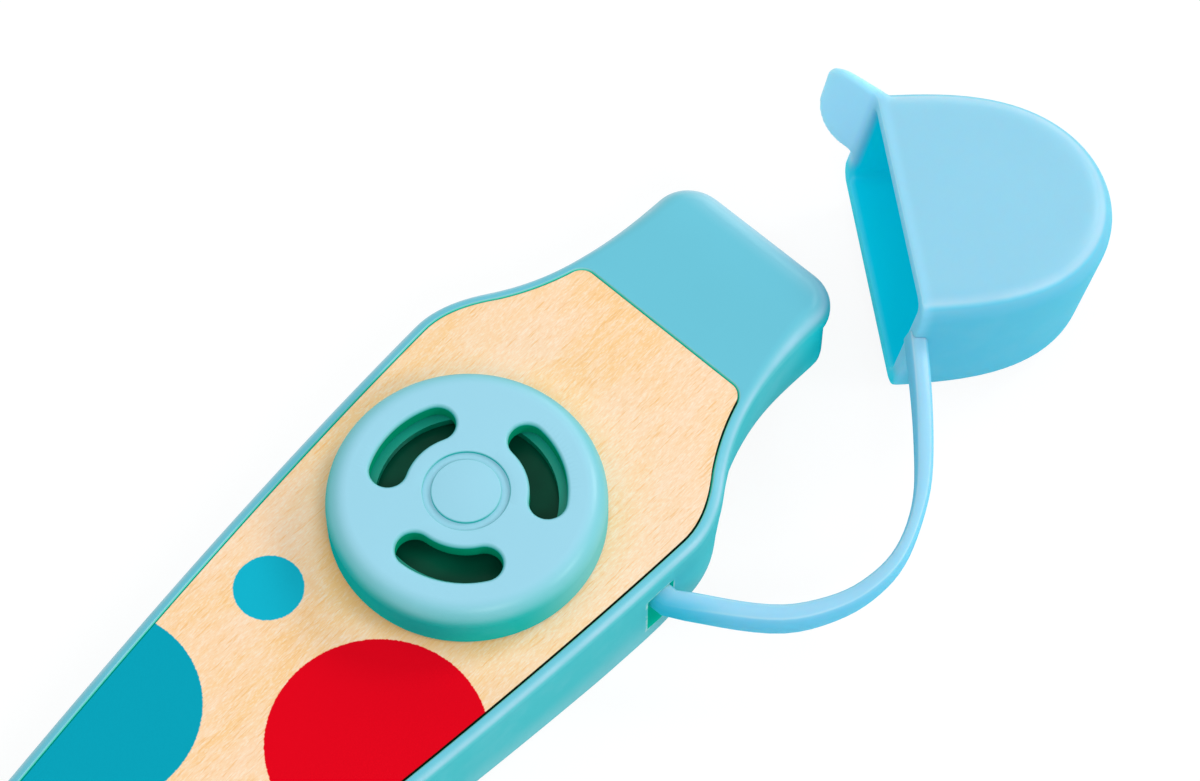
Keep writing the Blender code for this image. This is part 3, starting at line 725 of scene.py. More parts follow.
board = plan_left(RIM_WIDTH + PANEL_ROOM, -TAIL_REACH + RIM_WIDTH + PANEL_ROOM,
                  TAIL_CORNER - RIM_WIDTH - PANEL_ROOM, PANEL_FRONT + PANEL_GAP - PANEL_ROOM,
                  PANEL_CORNER)
panel = skin("wood_panel", plan_rings(board, [
    same(0.0, PANEL_BOTTOM), same(0.0, PANEL_TOP - PANEL_EASE),
    same(EASE_BREAK * PANEL_EASE, PANEL_TOP - EASE_BREAK * PANEL_EASE),
    same(PANEL_EASE, PANEL_TOP)]))
panel.data.transform(Matrix.Translation(PANEL_PUSH))
carve(panel, bore("panel_hole_tool", COLLAR_RADIUS + HOLE_ROOM, HOLE_TOOL_TOP, HOLE_TOOL_FOOT))
soften(panel)
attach(panel, "body")
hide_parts("top_panel")

# %% [markdown]
# ## The turret cap
# A round cap that screws down over the membrane. Its shoulder is full and round, its foot
# has a small rounded edge, and a plain ring groove marks the middle of its face. All of it
# is round about one axis, so the whole profile is drawn once and turned.

# %% Turret cap
TURRET_RADIUS, TURRET_FACE, TURRET_SKIRT = 0.015, 0.0190, 0.0133
TURRET_ROUND, TURRET_ROOF, SKIRT_WALL, SKIRT_EDGE = 0.0024, 0.0019, 0.0026, 0.0002
GROOVE_RADIUS, GROOVE_HALF, GROOVE_DEPTH, GROOVE_EDGE = 0.0042, 0.00045, 0.00035, 0.00015
SHOULDER_STEPS, SMALL_EDGE_STEPS, TURRET_STEPS = 12, 3, 144

turret_profile = [(0.0, TURRET_FACE)]
for side in (-1, 1):
    wall = GROOVE_RADIUS + side * GROOVE_HALF
    down = [(wall + side * GROOVE_EDGE * (1 - sin(a)), TURRET_FACE - GROOVE_EDGE * (1 - cos(a)))
            for a in quarter(SMALL_EDGE_STEPS)]
    down.append((wall, TURRET_FACE - GROOVE_DEPTH))
    turret_profile += down if side < 0 else down[::-1]
turret_profile += [
    (TURRET_RADIUS - TURRET_ROUND * (1 - sin(a)), TURRET_FACE - TURRET_ROUND * (1 - cos(a)))
    for a in quarter(SHOULDER_STEPS)]
turret_profile += [
    (TURRET_RADIUS - SKIRT_EDGE * (1 - cos(a)), TURRET_SKIRT + SKIRT_EDGE * (1 - sin(a)))
    for a in quarter(SMALL_EDGE_STEPS)]
skirt_inside, roof_bottom = TURRET_RADIUS - SKIRT_WALL, TURRET_FACE - TURRET_ROOF
turret_profile += [(skirt_inside, TURRET_SKIRT), (skirt_inside, roof_bottom), (0.0, roof_bottom)]
turret = turned("turret_shell", turret_profile, TURRET_STEPS)
print("turret profile points:", len(turret_profile))

# %% [markdown]
# ## The turret's windows
# Three arched windows let the sound out. They could be bevelled after cutting, but bevels
# on Boolean edges often fail. So each window's tool opens like a trumpet at the top, and
# the cut itself leaves the soft rounded edge that a mould gives. The windows' inner walls
# are marked, because they are shaded and greener than the face.

# %% Turret windows
WINDOW_COUNT, WINDOW_RADIUS, WINDOW_HALF, WINDOW_WEB = 3, 0.0087, 0.0020, 0.0064
WINDOW_TURN, WINDOW_EDGE = radians(90), 0.00045
ARCH_STEPS, END_STEPS, TRUMPET_STEPS = 24, 16, 5
SPARE_BELOW, SPARE_AT_FACE, SPARE_ABOVE = 0.0001, 0.00001, 0.002
EDGE_KEPT = 0.7                     # share of the rounded edge that keeps the face's colour


def kidney(middle, grow):
    """Outline of a window, grown outwards by a small distance."""
    half = WINDOW_HALF + grow
    spread = pi / WINDOW_COUNT - (WINDOW_WEB / 2 + WINDOW_HALF) / WINDOW_RADIUS
    points = []
    for way in (1, -1):             # outer arch and one round end, then the inner and the other
        arch_radius = WINDOW_RADIUS + way * half
        for k in range(ARCH_STEPS + 1):
            a = middle - way * spread + way * 2 * spread * k / ARCH_STEPS
            points.append((arch_radius * cos(a), arch_radius * sin(a)))
        end = middle + way * spread
        centre = Vector((WINDOW_RADIUS * cos(end), WINDOW_RADIUS * sin(end)))
        start = end if way > 0 else end + pi
        for k in range(1, END_STEPS):
            a = start + pi * k / END_STEPS
            points.append((centre.x + half * cos(a), centre.y + half * sin(a)))
    return points


trumpet = [(0.0, roof_bottom - SPARE_BELOW)]
trumpet += [(WINDOW_EDGE * (1 - cos(a)), TURRET_FACE - WINDOW_EDGE * (1 - sin(a)))
            for a in quarter(TRUMPET_STEPS)[:-1]]
trumpet += [(WINDOW_EDGE, TURRET_FACE + SPARE_AT_FACE), (WINDOW_EDGE, TURRET_FACE + SPARE_ABOVE)]
for n in range(WINDOW_COUNT):
    middle = WINDOW_TURN + 2 * pi * n / WINDOW_COUNT
    carve(turret, tube("window_tool", [[(x, y, z) for x, y in kidney(middle, grow)]
                                       for grow, z in trumpet]))


def in_window(x, y, z):
    """Whether points lie on the wall of a window."""
    off_line = np.abs(np.hypot(x, y) - WINDOW_RADIUS)
    return (off_line < WINDOW_HALF + NEAR) & (z < TURRET_FACE - EDGE_KEPT * WINDOW_EDGE)


# mark for the painted shade on the windows' inner walls
note(turret, "sunk_shade", in_window(*places(turret).T))
soften(turret)
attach(turret, "turret")
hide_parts("turret_cap")

# %% [markdown]
# ## The mouth cap
# The cap is soft silicone: a flat cup with a round end, walls of a millimetre and a half,
# a rolled lip and a pull tab that flares from its far corner. Its end is squarer than a half
# circle, which a power of the sine gives. It is first put together from crisp solids, a cup,
# a tongue and a hollow, because those are easy to size.

# %% Mouth cap shape
CAP_WIDTH, CAP_DEPTH, CAP_THICK, CAP_WALL = 0.0285, 0.0246, 0.0174, 0.0015
CAP_ROUND_TOP, CAP_ROUND_LOW, CAP_BELLY, CAP_BULGE = 0.0026, 0.0016, 0.0003, 3.0
HOLLOW_ROUND = 0.0012
CUP_STEPS, CUP_EDGE_STEPS = 40, 6
TAB_LENGTH, TAB_WIDTH, TAB_THICK, TAB_RISE = 0.0067, 0.0124, 0.0013, 0.0026
TAB_CORNERS = ((0.0052, -1), (0.0028, 1))       # rounding below and above
TAB_CORNER_STEPS = 8
TAB_FLARE = radians(45)
tab_root = Vector((TAB_THICK / 2, CAP_WIDTH / 2 - CAP_WALL / 2, TAB_RISE))


def cup(name, wall, round_low, round_top, belly, run_out):
    """Cup about its own axes: X from the opening to the round end."""
    half, depth, thick = CAP_WIDTH / 2 - wall, CAP_DEPTH - wall, CAP_THICK / 2 - wall
    rings = []
    edge = quarter(CUP_EDGE_STEPS)
    for a, way in [(a, -1) for a in edge] + [(a, 1) for a in reversed(edge)]:
        rounding = round_low if way < 0 else round_top
        inset = rounding * (1 - sin(a)) - belly * sin(a)
        z = way * (thick - rounding * (1 - cos(a)))
        left = [(-run_out, half - inset, z)] if run_out else []
        for k in range(CUP_STEPS):
            b = k * pi / (2 * CUP_STEPS - 1)
            left.append(((depth - inset) * sin(b) ** (2 / CAP_BULGE), (half - inset) * cos(b), z))
        rings.append(mirrored(left))
    return skin(name, rings)


def tongue():
    """Pull tab: a thin tongue with two different corners."""
    half = TAB_WIDTH / 2
    outline = [(-CAP_WALL / 2, half), (-CAP_WALL / 2, -half)]
    for corner, way in TAB_CORNERS:
        turns = quarter(TAB_CORNER_STEPS)
        outline += [(TAB_LENGTH - corner * (1 - sin(a)), way * (half - corner * (1 - cos(a))))
                    for a in (turns if way < 0 else reversed(turns))]
    bm = bmesh.new()
    base = bm.faces.new([bm.verts.new((x, y, -TAB_THICK / 2)) for x, y in outline])
    grown = bmesh.ops.extrude_face_region(bm, geom=[base])["geom"]
    tops = [v for v in grown if isinstance(v, bmesh.types.BMVert)]
    bmesh.ops.translate(bm, verts=tops, vec=(0, 0, TAB_THICK))
    upright = Matrix.Rotation(pi / 2 + TAB_FLARE, 4, "Z") @ Matrix.Rotation(pi / 2, 4, "X")
    bmesh.ops.transform(bm, verts=bm.verts, matrix=Matrix.Translation(tab_root) @ upright)
    return make_piece("tab", bm)


cap = cup("silicone_cap", 0.0, CAP_ROUND_LOW, CAP_ROUND_TOP, CAP_BELLY, 0.0)
carve(cap, tongue(), "UNION")
carve(cap, cup("hollow_tool", CAP_WALL, HOLLOW_ROUND, HOLLOW_ROUND, 0.0, PAST))

# %% [markdown]
# ## Softening the cap
# Silicone has no crisp edges. A voxel remesh turns the crisp solid into even small faces,
# and rounds of smoothing relax them, which rounds every edge and melts the tab's root into
# the wall. Then the tab's points are moved a little, in code, so that it thins towards its
# tip and curls like a leaf.

# %% Soften the cap
VOXEL = 0.00033
RELAX_SHARE, RELAX_ROUNDS = 0.5, 14
TAB_BEND_FROM = 0.0008              # past its root, where the tab starts to thin and curl
TAB_TAPER = 0.35                    # how much thinner its tip is
TAB_CUP = 0.0009                    # how far its edges curl


def ramp(values, low, high):
    """0 at low, 1 at high, in a straight line between."""
    return np.clip((values - low) / (high - low), 0, 1)


cells = cap.modifiers.new("cells", "REMESH")
cells.mode = "VOXEL"
cells.voxel_size = VOXEL
relax = cap.modifiers.new("relax", "SMOOTH")
relax.factor = RELAX_SHARE
relax.iterations = RELAX_ROUNDS
settle(cap)

points = places(cap)
tab_along = np.array((-sin(TAB_FLARE), cos(TAB_FLARE), 0.0))
tab_across = np.array((cos(TAB_FLARE), sin(TAB_FLARE), 0.0))
from_root = points - np.array(tab_root)
tab_out = from_root @ tab_along
out_share = ramp(tab_out, TAB_BEND_FROM, TAB_BEND_FROM + TAB_LENGTH)
rise_share = (points[:, 2] - TAB_RISE) / (TAB_WIDTH / 2)
thinner = -TAB_TAPER * out_share * (from_root @ tab_across)
curled = TAB_CUP * out_share * (rise_share ** 2 - 0.5)
points += np.outer(thinner - curled, tab_across)
cap.data.vertices.foreach_set("co", points.ravel())
print("soft cap points:", len(points))

# %% [markdown]
# ## Marks on the cap
# Inside the cup the colour is painted deeper, with a faint painted glow, for light that
# bounces about in the silicone; thin places are painted paler, with a glow, for light that
# comes through them. Two numbers on each point tell the finish where: one goes from 0
# outside to 1 inside the cup, the other to 1 on the tab and part of the way on the lip.
# Both fade over about a millimetre, since nothing changes at once in soft silicone.

# %% Cap marks
TAB_FADE = (-0.0010, 0.0010)        # along the tab, from its root
LIP_FADE = (0.0016, 0.0003)         # from the opening inwards
LIP_THIN = 0.35                     # how much the lip counts as thin
INSIDE_REACH = (1.03, 0.95)         # 1 is the middle of the wall
INSIDE_DEPTH = (0.0004, 0.0011)
LOWER_LIP_REACH, LOWER_LIP_FALL, LOWER_LIP_MOST = (1.10, 1.04), (-0.0045, -0.0065), 0.85
LEAST_WIDTH = 0.0001                # no share of less than this is taken at the round end
CAP_SHARP = radians(80)
CAP_PLACE = (Matrix.Translation((0.05636, -0.01006, 0.01220))
             @ Matrix.Rotation(radians(-38.55), 4, "Z") @ Matrix.Rotation(radians(8.84), 4, "Y")
             @ Matrix.Rotation(radians(0.86), 4, "X"))

cap_x, cap_y, cap_z = points.T
depth_share = np.clip(cap_x / (CAP_DEPTH - CAP_WALL / 2), 0, 1)
wall_half = (CAP_WIDTH - CAP_WALL) / 2 * np.sqrt(np.clip(1 - depth_share ** CAP_BULGE, 0, 1))
reach = np.maximum(np.abs(cap_y) / np.maximum(wall_half, LEAST_WIDTH),
                   np.abs(cap_z) / ((CAP_THICK - CAP_WALL) / 2))
on_tab = ramp(tab_out, *TAB_FADE)
on_lip = ramp(cap_x, *LIP_FADE)
hidden = ramp(reach, *INSIDE_REACH) * ramp(cap_x, *INSIDE_DEPTH)
lower_lip = on_lip * ramp(cap_z, *LOWER_LIP_FALL) * ramp(reach, *LOWER_LIP_REACH)
# marks for the painted light: the inside of the cup, and the thin tab and lip
note(cap, "inside", np.clip(hidden + LOWER_LIP_MOST * lower_lip, 0, 1))
note(cap, "thin", np.maximum(on_tab, LIP_THIN * on_lip))
cap.data.transform(CAP_PLACE)
soften(cap, CAP_SHARP)
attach(cap, "cap")
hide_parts("mouth_cap")

# %% [markdown]
# ## Finishes: a desk for nodes
# A finish is a tree of shader nodes. It is mostly drawn by hand in the Shader Editor; in a
# script a little builder places and links the nodes, so each finish reads as a list of
# steps. Colours are noted the way a paint card gives them, from 0 to 255, and turned into
# the linear light that Blender works in.

# %% Node desk
BLACK, WHITE = (0.0, 0.0, 0.0, 1.0), (1.0, 1.0, 1.0, 1.0)
DESK_COLUMNS, DESK_WIDTH, DESK_HEIGHT = 8, 220, 260     # how nodes are laid out


def paint(r, g, b):
    """Screen colour, 0 to 255, as linear light."""
    def one(c):
        c /= 255
        return c / 12.92 if c <= 0.04045 else ((c + 0.055) / 1.055) ** 2.4
    return (one(r), one(g), one(b), 1.0)


class Desk:
    """Places nodes in one tree and links them."""

    def __init__(self, tree):
        self.tree, self.count = tree, 0

    def put(self, kind, settings=None, **inputs):
        """New node; an input named i0, i1 and so on is meant by its number."""
        node = self.tree.nodes.new(kind)
        row, column = divmod(self.count, DESK_COLUMNS)
        node.location = (DESK_WIDTH * column, -DESK_HEIGHT * row)
        self.count += 1
        for key, value in (settings or {}).items():
            setattr(node, key, value)
        for key, value in inputs.items():
            self.plug(node, key, value)
        return node

    def plug(self, node, key, value):
        """Links a socket to an input, or sets the input to a plain value."""
        numbered = key[0] == "i" and key[1:].isdigit()
        socket = node.inputs[int(key[1:]) if numbered else key.replace("_", " ")]
        if isinstance(value, bpy.types.NodeSocket):
            self.tree.links.new(value, socket)
        else:
            socket.default_value = value

    def math(self, operation, a, b=0.0, c=0.0, clamp=False):
        settings = {"operation": operation, "use_clamp": clamp}
        return self.put("ShaderNodeMath", settings, i0=a, i1=b, i2=c).outputs[0]

    def product(self, first, *others):
        for other in others:
            first = self.math("MULTIPLY", first, other)
        return first

    def mix(self, factor, a, b, mode="MIX"):
        settings = {"data_type": "RGBA", "blend_type": mode}
        return self.put("ShaderNodeMix", settings, i0=factor, i6=a, i7=b).outputs[2]

    def steps(self, value, low, high, to_low=0.0, to_high=1.0):
        """Smooth passage from to_low, where value is low, to to_high, where it is high."""
        node = self.put("ShaderNodeMapRange", {"interpolation_type": "SMOOTHSTEP"}, Value=value,
                        From_Min=low, From_Max=high, To_Min=to_low, To_Max=to_high)
        return node.outputs[0]

    def noise(self, place, scale, detail=3.0, rough=0.5):
        node = self.put("ShaderNodeTexNoise", None, Vector=place, Scale=scale, Detail=detail,
                        Roughness=rough)
        return node.outputs[0]

    def streaky(self, place, stretch, detail, rough):
        """Noise that is drawn out along some axes."""
        drawn_out = self.put("ShaderNodeMapping", None, Vector=place, Scale=stretch)
        return self.noise(drawn_out.outputs[0], 1.0, detail, rough)

    def split(self, vector):
        return self.put("ShaderNodeSeparateXYZ", None, Vector=vector).outputs

    def facing(self):
        """Which way the surface faces, split into X, Y and Z."""
        return self.split(self.put("ShaderNodeNewGeometry").outputs["Normal"])

    def vector(self, operation, a, b=(0.0, 0.0, 0.0)):
        return self.put("ShaderNodeVectorMath", {"operation": operation}, i0=a, i1=b).outputs

    def level_length(self, parts):
        """Length of a split vector seen from above."""
        level = self.put("ShaderNodeCombineXYZ", None, X=parts["X"], Y=parts["Y"]).outputs[0]
        return self.vector("LENGTH", level)["Value"]

    def level_reach(self, parts, way):
        """How far a split vector reaches in a level direction."""
        aside = self.math("MULTIPLY", parts["Y"], way[1])
        return self.math("MULTIPLY_ADD", parts["X"], way[0], aside)

    def mark(self, name):
        """Number that was noted on the piece's points."""
        return self.put("ShaderNodeAttribute", {"attribute_name": name}).outputs["Fac"]

    def bump(self, height, strength, distance):
        node = self.put("ShaderNodeBump", None, Height=height, Strength=strength, Distance=distance)
        return node.outputs[0]


print("mid grey as linear light: %.3f" % paint(128, 128, 128)[0])

# %% [markdown]
# ## Finishes: groups and materials
# What several finishes share is a node group: a small tree with named inputs and outputs,
# built once and placed in each material with its own values. Groups here give out colours,
# masks and heights; the shader itself always stays in the material, where its plain values
# are set on its own sockets.

# %% Finish tools
FLOAT, COLOUR, VECTOR = "NodeSocketFloat", "NodeSocketColor", "NodeSocketVector"


def start_group(name, inputs, outputs):
    """Empty node group with named sockets; returns its desk, its inputs and its end."""
    tree = bpy.data.node_groups.new(name, "ShaderNodeTree")
    for kind, label, value in inputs:
        socket = tree.interface.new_socket(label, in_out="INPUT", socket_type=kind)
        if value is not None:
            socket.default_value = value
    for kind, label in outputs:
        tree.interface.new_socket(label, in_out="OUTPUT", socket_type=kind)
    desk = Desk(tree)
    return desk, desk.put("NodeGroupInput").outputs, desk.put("NodeGroupOutput")


def start_finish(name):
    """New material with its shader, its desk and the place on the piece."""
    material = bpy.data.materials.new(name)
    material.use_nodes = True
    desk = Desk(material.node_tree)
    shader = material.node_tree.nodes["Principled BSDF"]
    place = desk.put("ShaderNodeTexCoord").outputs["Object"]
    return material, desk, shader, place


def set_plain(shader, **values):
    """Sets plain values on the shader's own sockets."""
    for key, value in values.items():
        shader.inputs[key.replace("_", " ")].default_value = value


def dress(piece, material):
    """Gives a piece one finish all over."""
    piece.data.materials.clear()
    piece.data.materials.append(material)
    print(piece.name, "wears", material.name)


print("kinds of group socket:", FLOAT, COLOUR, VECTOR)

# %% [markdown]
# ## Shared effect: moulded skin
# Plastic and silicone from a mould share one look. Faces that lie flat get a lighter tone,
# a painted light from above, steep faces a deeper one, a painted shade, and soft clouds
# shift the tone by a few parts in a hundred. Rounded edges get a pale painted highlight,
# hands polish whatever faces up, and steep sides are a little scuffed. All of this follows
# from which way the surface faces, so one group with a few knobs serves every moulded
# piece. Very fine grain breaks up the gloss.

# %% Moulded skin group
FLAT_FALL = 2.6                     # how fast the flat tone gives way on a slope
CLOUD_SCALE, PATCH_SCALE, SCUFF_SCALE, GRAIN_SCALE = 70.0, 160.0, 190.0, 4200.0
# the patches make the painted edge highlight and the gloss uneven
PATCH_RANGE, PATCH_SHARES = (0.25, 0.75), (0.75, 1.25)      # how uneven the rubbing is
SCUFF_RANGE = (0.4, 0.72)
STEEP_FROM, STEEP_TO = 0.5, 0.05    # upward facing, where a face starts to count as steep
POLISH_FROM = 0.5                   # upward facing of a fully polished face
EDGE_END = 0.995                    # upward facing where a rounded edge runs into the flat

desk, given, end = start_group(
    "moulded_skin",
    [(VECTOR, "Place", None), (COLOUR, "Flat Tone", None), (COLOUR, "Steep Tone", None),
     (FLOAT, "Cloud", 0.05), (FLOAT, "Gloss", 0.4), (FLOAT, "Gloss Play", 0.08),
     (FLOAT, "Polish", 0.35), (COLOUR, "Rub Tone", None), (FLOAT, "Rub", 0.4),
     (FLOAT, "Rub Low", 0.1), (FLOAT, "Scuff", 0.2)],
    [(COLOUR, "Tone"), (FLOAT, "Roughness"), (FLOAT, "Height"), (FLOAT, "Polish"),
     (FLOAT, "Steep")])
up = desk.facing()["Z"]
# painted light and shade: faces that lie flat take the lighter tone, steep faces the deeper one
flat_share = desk.math("POWER", desk.math("MAXIMUM", up, 0.0), FLAT_FALL)
tone = desk.mix(flat_share, given["Steep Tone"], given["Flat Tone"])
clouds = desk.noise(given["Place"], CLOUD_SCALE, rough=0.55)
shift = desk.math("MULTIPLY_ADD", desk.math("SUBTRACT", clouds, 0.5), given["Cloud"], 1.0)
shade = desk.put("ShaderNodeCombineColor", None, Red=shift, Green=shift, Blue=shift).outputs[0]
tone = desk.mix(1.0, tone, shade, "MULTIPLY")
patches = desk.noise(given["Place"], PATCH_SCALE, detail=2.0)
steep = desk.steps(up, STEEP_TO, STEEP_FROM, 1.0, 0.0)
# painted highlight: a pale band on rounded edges, in uneven patches
edge_middle = desk.math("MULTIPLY", desk.math("ADD", given["Rub Low"], 1.0), 0.5)
edge_rise = desk.steps(up, given["Rub Low"], edge_middle)
edge_fall = desk.steps(up, edge_middle, EDGE_END, 1.0, 0.0)
uneven = desk.steps(patches, *PATCH_RANGE, *PATCH_SHARES)
painted_highlight = desk.product(edge_rise, edge_fall, uneven, given["Rub"])
tone = desk.mix(painted_highlight, tone, given["Rub Tone"])
# scuffs: random pale wear on steep sides, in the same pale tone as the painted highlight
worn = desk.steps(desk.noise(given["Place"], SCUFF_SCALE, rough=0.6), *SCUFF_RANGE)
tone = desk.mix(desk.product(steep, worn, given["Scuff"]), tone, given["Rub Tone"])
play = desk.math("MULTIPLY", desk.math("SUBTRACT", patches, 0.5), given["Gloss Play"])
desk.plug(end, "Tone", tone)
desk.plug(end, "Roughness", desk.math("ADD", given["Gloss"], play, clamp=True))
desk.plug(end, "Height", desk.noise(given["Place"], GRAIN_SCALE, detail=2.0, rough=0.6))
desk.plug(end, "Polish", desk.product(desk.steps(up, 0.0, POLISH_FROM), given["Polish"]))
desk.plug(end, "Steep", steep)
moulded_skin = desk.tree
print("group:", moulded_skin.name, "nodes:", len(moulded_skin.nodes))

# %% [markdown]
# ## Moulded pieces
# Every moulded piece uses the shared skin with its own colours. The gloss is a thin clear
# coat that lies only on what faces up, where hands polish the toy; the sides stay dull, as
# they leave the mould. The grain is a hundredth of a millimetre of bump, enough to soften
# reflections without showing as a shape.

# %% Moulded finishes
SIDE_SHEEN = 0.0                    # steep sides are dull from the mould
POLISH_ROUGHNESS = 0.32
GRAIN_STRENGTH, GRAIN_DEPTH = 0.35, 0.00001
# pale tone of the painted edge highlight, also used for the scuffs
PLASTIC_HIGHLIGHT_AND_SCUFF_TONE = paint(186, 222, 242)
COVER_TONES = {"flat_tone": paint(100, 190, 208), "steep_tone": paint(60, 180, 190)}
RING_TONES = {"flat_tone": paint(20, 160, 140), "steep_tone": paint(0, 140, 112)}


def moulded(name, flat_tone, steep_tone, gloss=0.4, cloud=0.05, polish=0.6, rub=0.45, scuff=0.15,
            rub_low=0.1, rub_tone=PLASTIC_HIGHLIGHT_AND_SCUFF_TONE):
    """Finish for one moulded piece."""
    material, desk, shader, place = start_finish(name)
    skin_node = desk.put("ShaderNodeGroup", {"node_tree": moulded_skin}, Place=place,
                         Flat_Tone=flat_tone, Steep_Tone=steep_tone, Cloud=cloud, Gloss=gloss,
                         Polish=polish, Rub_Tone=rub_tone, Rub=rub, Rub_Low=rub_low, Scuff=scuff)
    look = skin_node.outputs
    desk.plug(shader, "Base Color", look["Tone"])
    desk.plug(shader, "Roughness", look["Roughness"])
    desk.plug(shader, "Coat Weight", look["Polish"])
    desk.plug(shader, "Normal", desk.bump(look["Height"], GRAIN_STRENGTH, GRAIN_DEPTH))
    set_plain(shader, Coat_Roughness=POLISH_ROUGHNESS, Specular_IOR_Level=SIDE_SHEEN)
    return material, desk, shader, place, look


dress(nodes["bottom_cover"], moulded("cover_teal", **COVER_TONES)[0])
dress(nodes["clamp_ring"], moulded("ring_green", **RING_TONES, gloss=0.42)[0])

# %% [markdown]
# ## The body's plastic
# The body is teal, with three changes along it, all painted light. The mouthpiece's sides
# are painted a brighter, deeper teal against the shade of the cap and lip, its front edge
# gets a pale painted highlight, and the lower edges are painted pale by light from the
# table. Painting a texture would do, but plain rules of place keep the finish sharp at any
# size: how far along the body, and how high.

# %% Body finish
# along the body, where the mouthpiece's sides are painted a brighter teal against their shade
MOUTH_SIDE_REACH = (0.036, 0.046)         # along the body, where lips keep the sides clean
# where the mouthpiece's front edge gets its painted highlight, and how strong
TIP_HIGHLIGHT_REACH, TIP_HIGHLIGHT_MOST = (0.0445, 0.0480), 0.38
TABLE_PALE, TABLE_PALE_MOST = (0.0005, 0.0065), 0.36    # height over the table
BODY_LOOK = {"flat_tone": paint(102, 194, 215), "steep_tone": paint(80, 195, 203),
             "rub": 0.5, "scuff": 0.06, "rub_low": 0.34}
# painted brighter teal of the mouthpiece's sides, painted highlight of its front edge, painted pale of
# the lower edges
MOUTH_SIDE_LIT_TEAL, TIP_HIGHLIGHT_TONE, TABLE_LIGHT = paint(8, 206, 214), paint(190, 226, 242), paint(176, 220, 228)

body_finish, desk, shader, place, look = moulded("body_teal", **BODY_LOOK)
spot = desk.split(place)
# painted light on the mouthpiece's steep sides
at_mouth = desk.steps(spot["X"], *MOUTH_SIDE_REACH)
body_tone = desk.mix(desk.product(at_mouth, look["Steep"]), look["Tone"], MOUTH_SIDE_LIT_TEAL)
paled = desk.product(desk.steps(spot["Z"], *TABLE_PALE, TABLE_PALE_MOST, 0.0),
                     desk.math("SUBTRACT", 1.0, at_mouth))
body_tone = desk.mix(paled, body_tone, TABLE_LIGHT)
# painted highlight along the mouthpiece's front edge
painted_tip_highlight = desk.product(desk.steps(spot["X"], *TIP_HIGHLIGHT_REACH, 0.0, TIP_HIGHLIGHT_MOST),
                        desk.math("SUBTRACT", 1.0, look["Steep"]))
body_tone = desk.mix(painted_tip_highlight, body_tone, TIP_HIGHLIGHT_TONE)
dress(body, body_finish)

# %% [markdown]
# ## Round the slot
# Where the strap is pulled through, the slot's edge has gone pale in ragged patches, and its
# inside gets a painted deeper green shade. The distance to the slot's outline tells both
# apart. Light that bounces between such close walls is slow to render, so the slot and the
# rim's inner wall are given a faint painted glow of their own colour instead.

# %% Slot marks
RAGGED_SCALE, RAGGED_MOST = 1500.0, 0.0006      # how the pale edge wanders
PATCHY_SCALE, PATCHY_RANGE, PATCHY_SHARES = 700.0, (0.42, 0.6), (0.05, 0.5)
PALE_EDGE, PALE_DEPTH = (-0.00005, 0.00006), (0.0005, 0.0012)
SLOT_EDGE, SLOT_DEPTH = (0.00002, 0.00006), (0.004, 0.005)
# pale tone of the worn edge, then the painted shade and the painted glow inside the slot
PALE_TONE, SLOT_SHADE_TONE, SLOT_GLOW = paint(196, 226, 224), paint(0, 172, 146), paint(0, 116, 100)

from_slot = desk.vector("SUBTRACT", place, (SLOT_X, slot_y, slot_middle))[0]
apart = desk.split(desk.vector("ABSOLUTE", from_slot)[0])
edge_distance = desk.math("MAXIMUM", desk.math("SUBTRACT", apart["X"], SLOT_WIDTH / 2),
                          desk.math("SUBTRACT", apart["Z"], SLOT_HEIGHT / 2))
ragged = desk.product(desk.noise(place, RAGGED_SCALE), RAGGED_MOST)
pale_edge = desk.product(
    desk.steps(desk.math("SUBTRACT", edge_distance, ragged), *PALE_EDGE, 1.0, 0.0),
    desk.steps(apart["Y"], *PALE_DEPTH, 1.0, 0.0),
    desk.steps(desk.noise(place, PATCHY_SCALE, detail=2.0), *PATCHY_RANGE, *PATCHY_SHARES))
body_tone = desk.mix(pale_edge, body_tone, PALE_TONE)
in_slot = desk.product(desk.steps(edge_distance, *SLOT_EDGE, 1.0, 0.0),
                       desk.steps(apart["Y"], *SLOT_DEPTH, 1.0, 0.0))
# painted shade: the rim's inner wall and the slot's inside turn deeper green, with a faint painted
# glow
painted_recess_shade = desk.math("MAXIMUM", desk.mark("sunk_shade"), in_slot)
desk.plug(shader, "Base Color", desk.mix(painted_recess_shade, body_tone, SLOT_SHADE_TONE))
desk.plug(shader, "Emission Color", desk.mix(painted_recess_shade, BLACK, SLOT_GLOW))
set_plain(shader, Emission_Strength=1.0)
print("body finish nodes:", len(desk.tree.nodes))

# %% [markdown]
# ## The turret's plastic
# The turret is a lighter blue. Its wall is painted paler on the side that faces the lamps
# and painted deeper on the other, as painted light and shade over what the lamps alone
# make. So the tone follows the level direction that the wall faces. The windows' inner
# walls take a painted shaded green.

# %% Turret finish
PALE_WAY = (0.675, -0.738)          # level direction of the lamps
WALL_FACING = (0.2, 0.9)            # upward facing, from the wall to the face
PALE_FACING, PALE_MOST = (0.35, 0.95), 0.4
DEEP_FACING, DEEP_MOST = (-0.95, -0.2), 0.75
TURRET_LOOK = {"flat_tone": paint(154, 214, 234), "steep_tone": paint(34, 188, 184),
               "rub": 0.16, "scuff": 0.04, "rub_low": 0.2}
# painted light on the wall towards the lamps, painted shade on the far wall and in the windows
LIT_WALL, SHADED_WALL, WINDOW_SHADE_GREEN = paint(176, 218, 222), paint(4, 180, 184), paint(0, 164, 124)

turret_finish, desk, shader, place, look = moulded("turret_blue", **TURRET_LOOK)
facing = desk.facing()
lampward = desk.level_reach(facing, PALE_WAY)
on_wall = desk.steps(facing["Z"], *WALL_FACING, 1.0, 0.0)
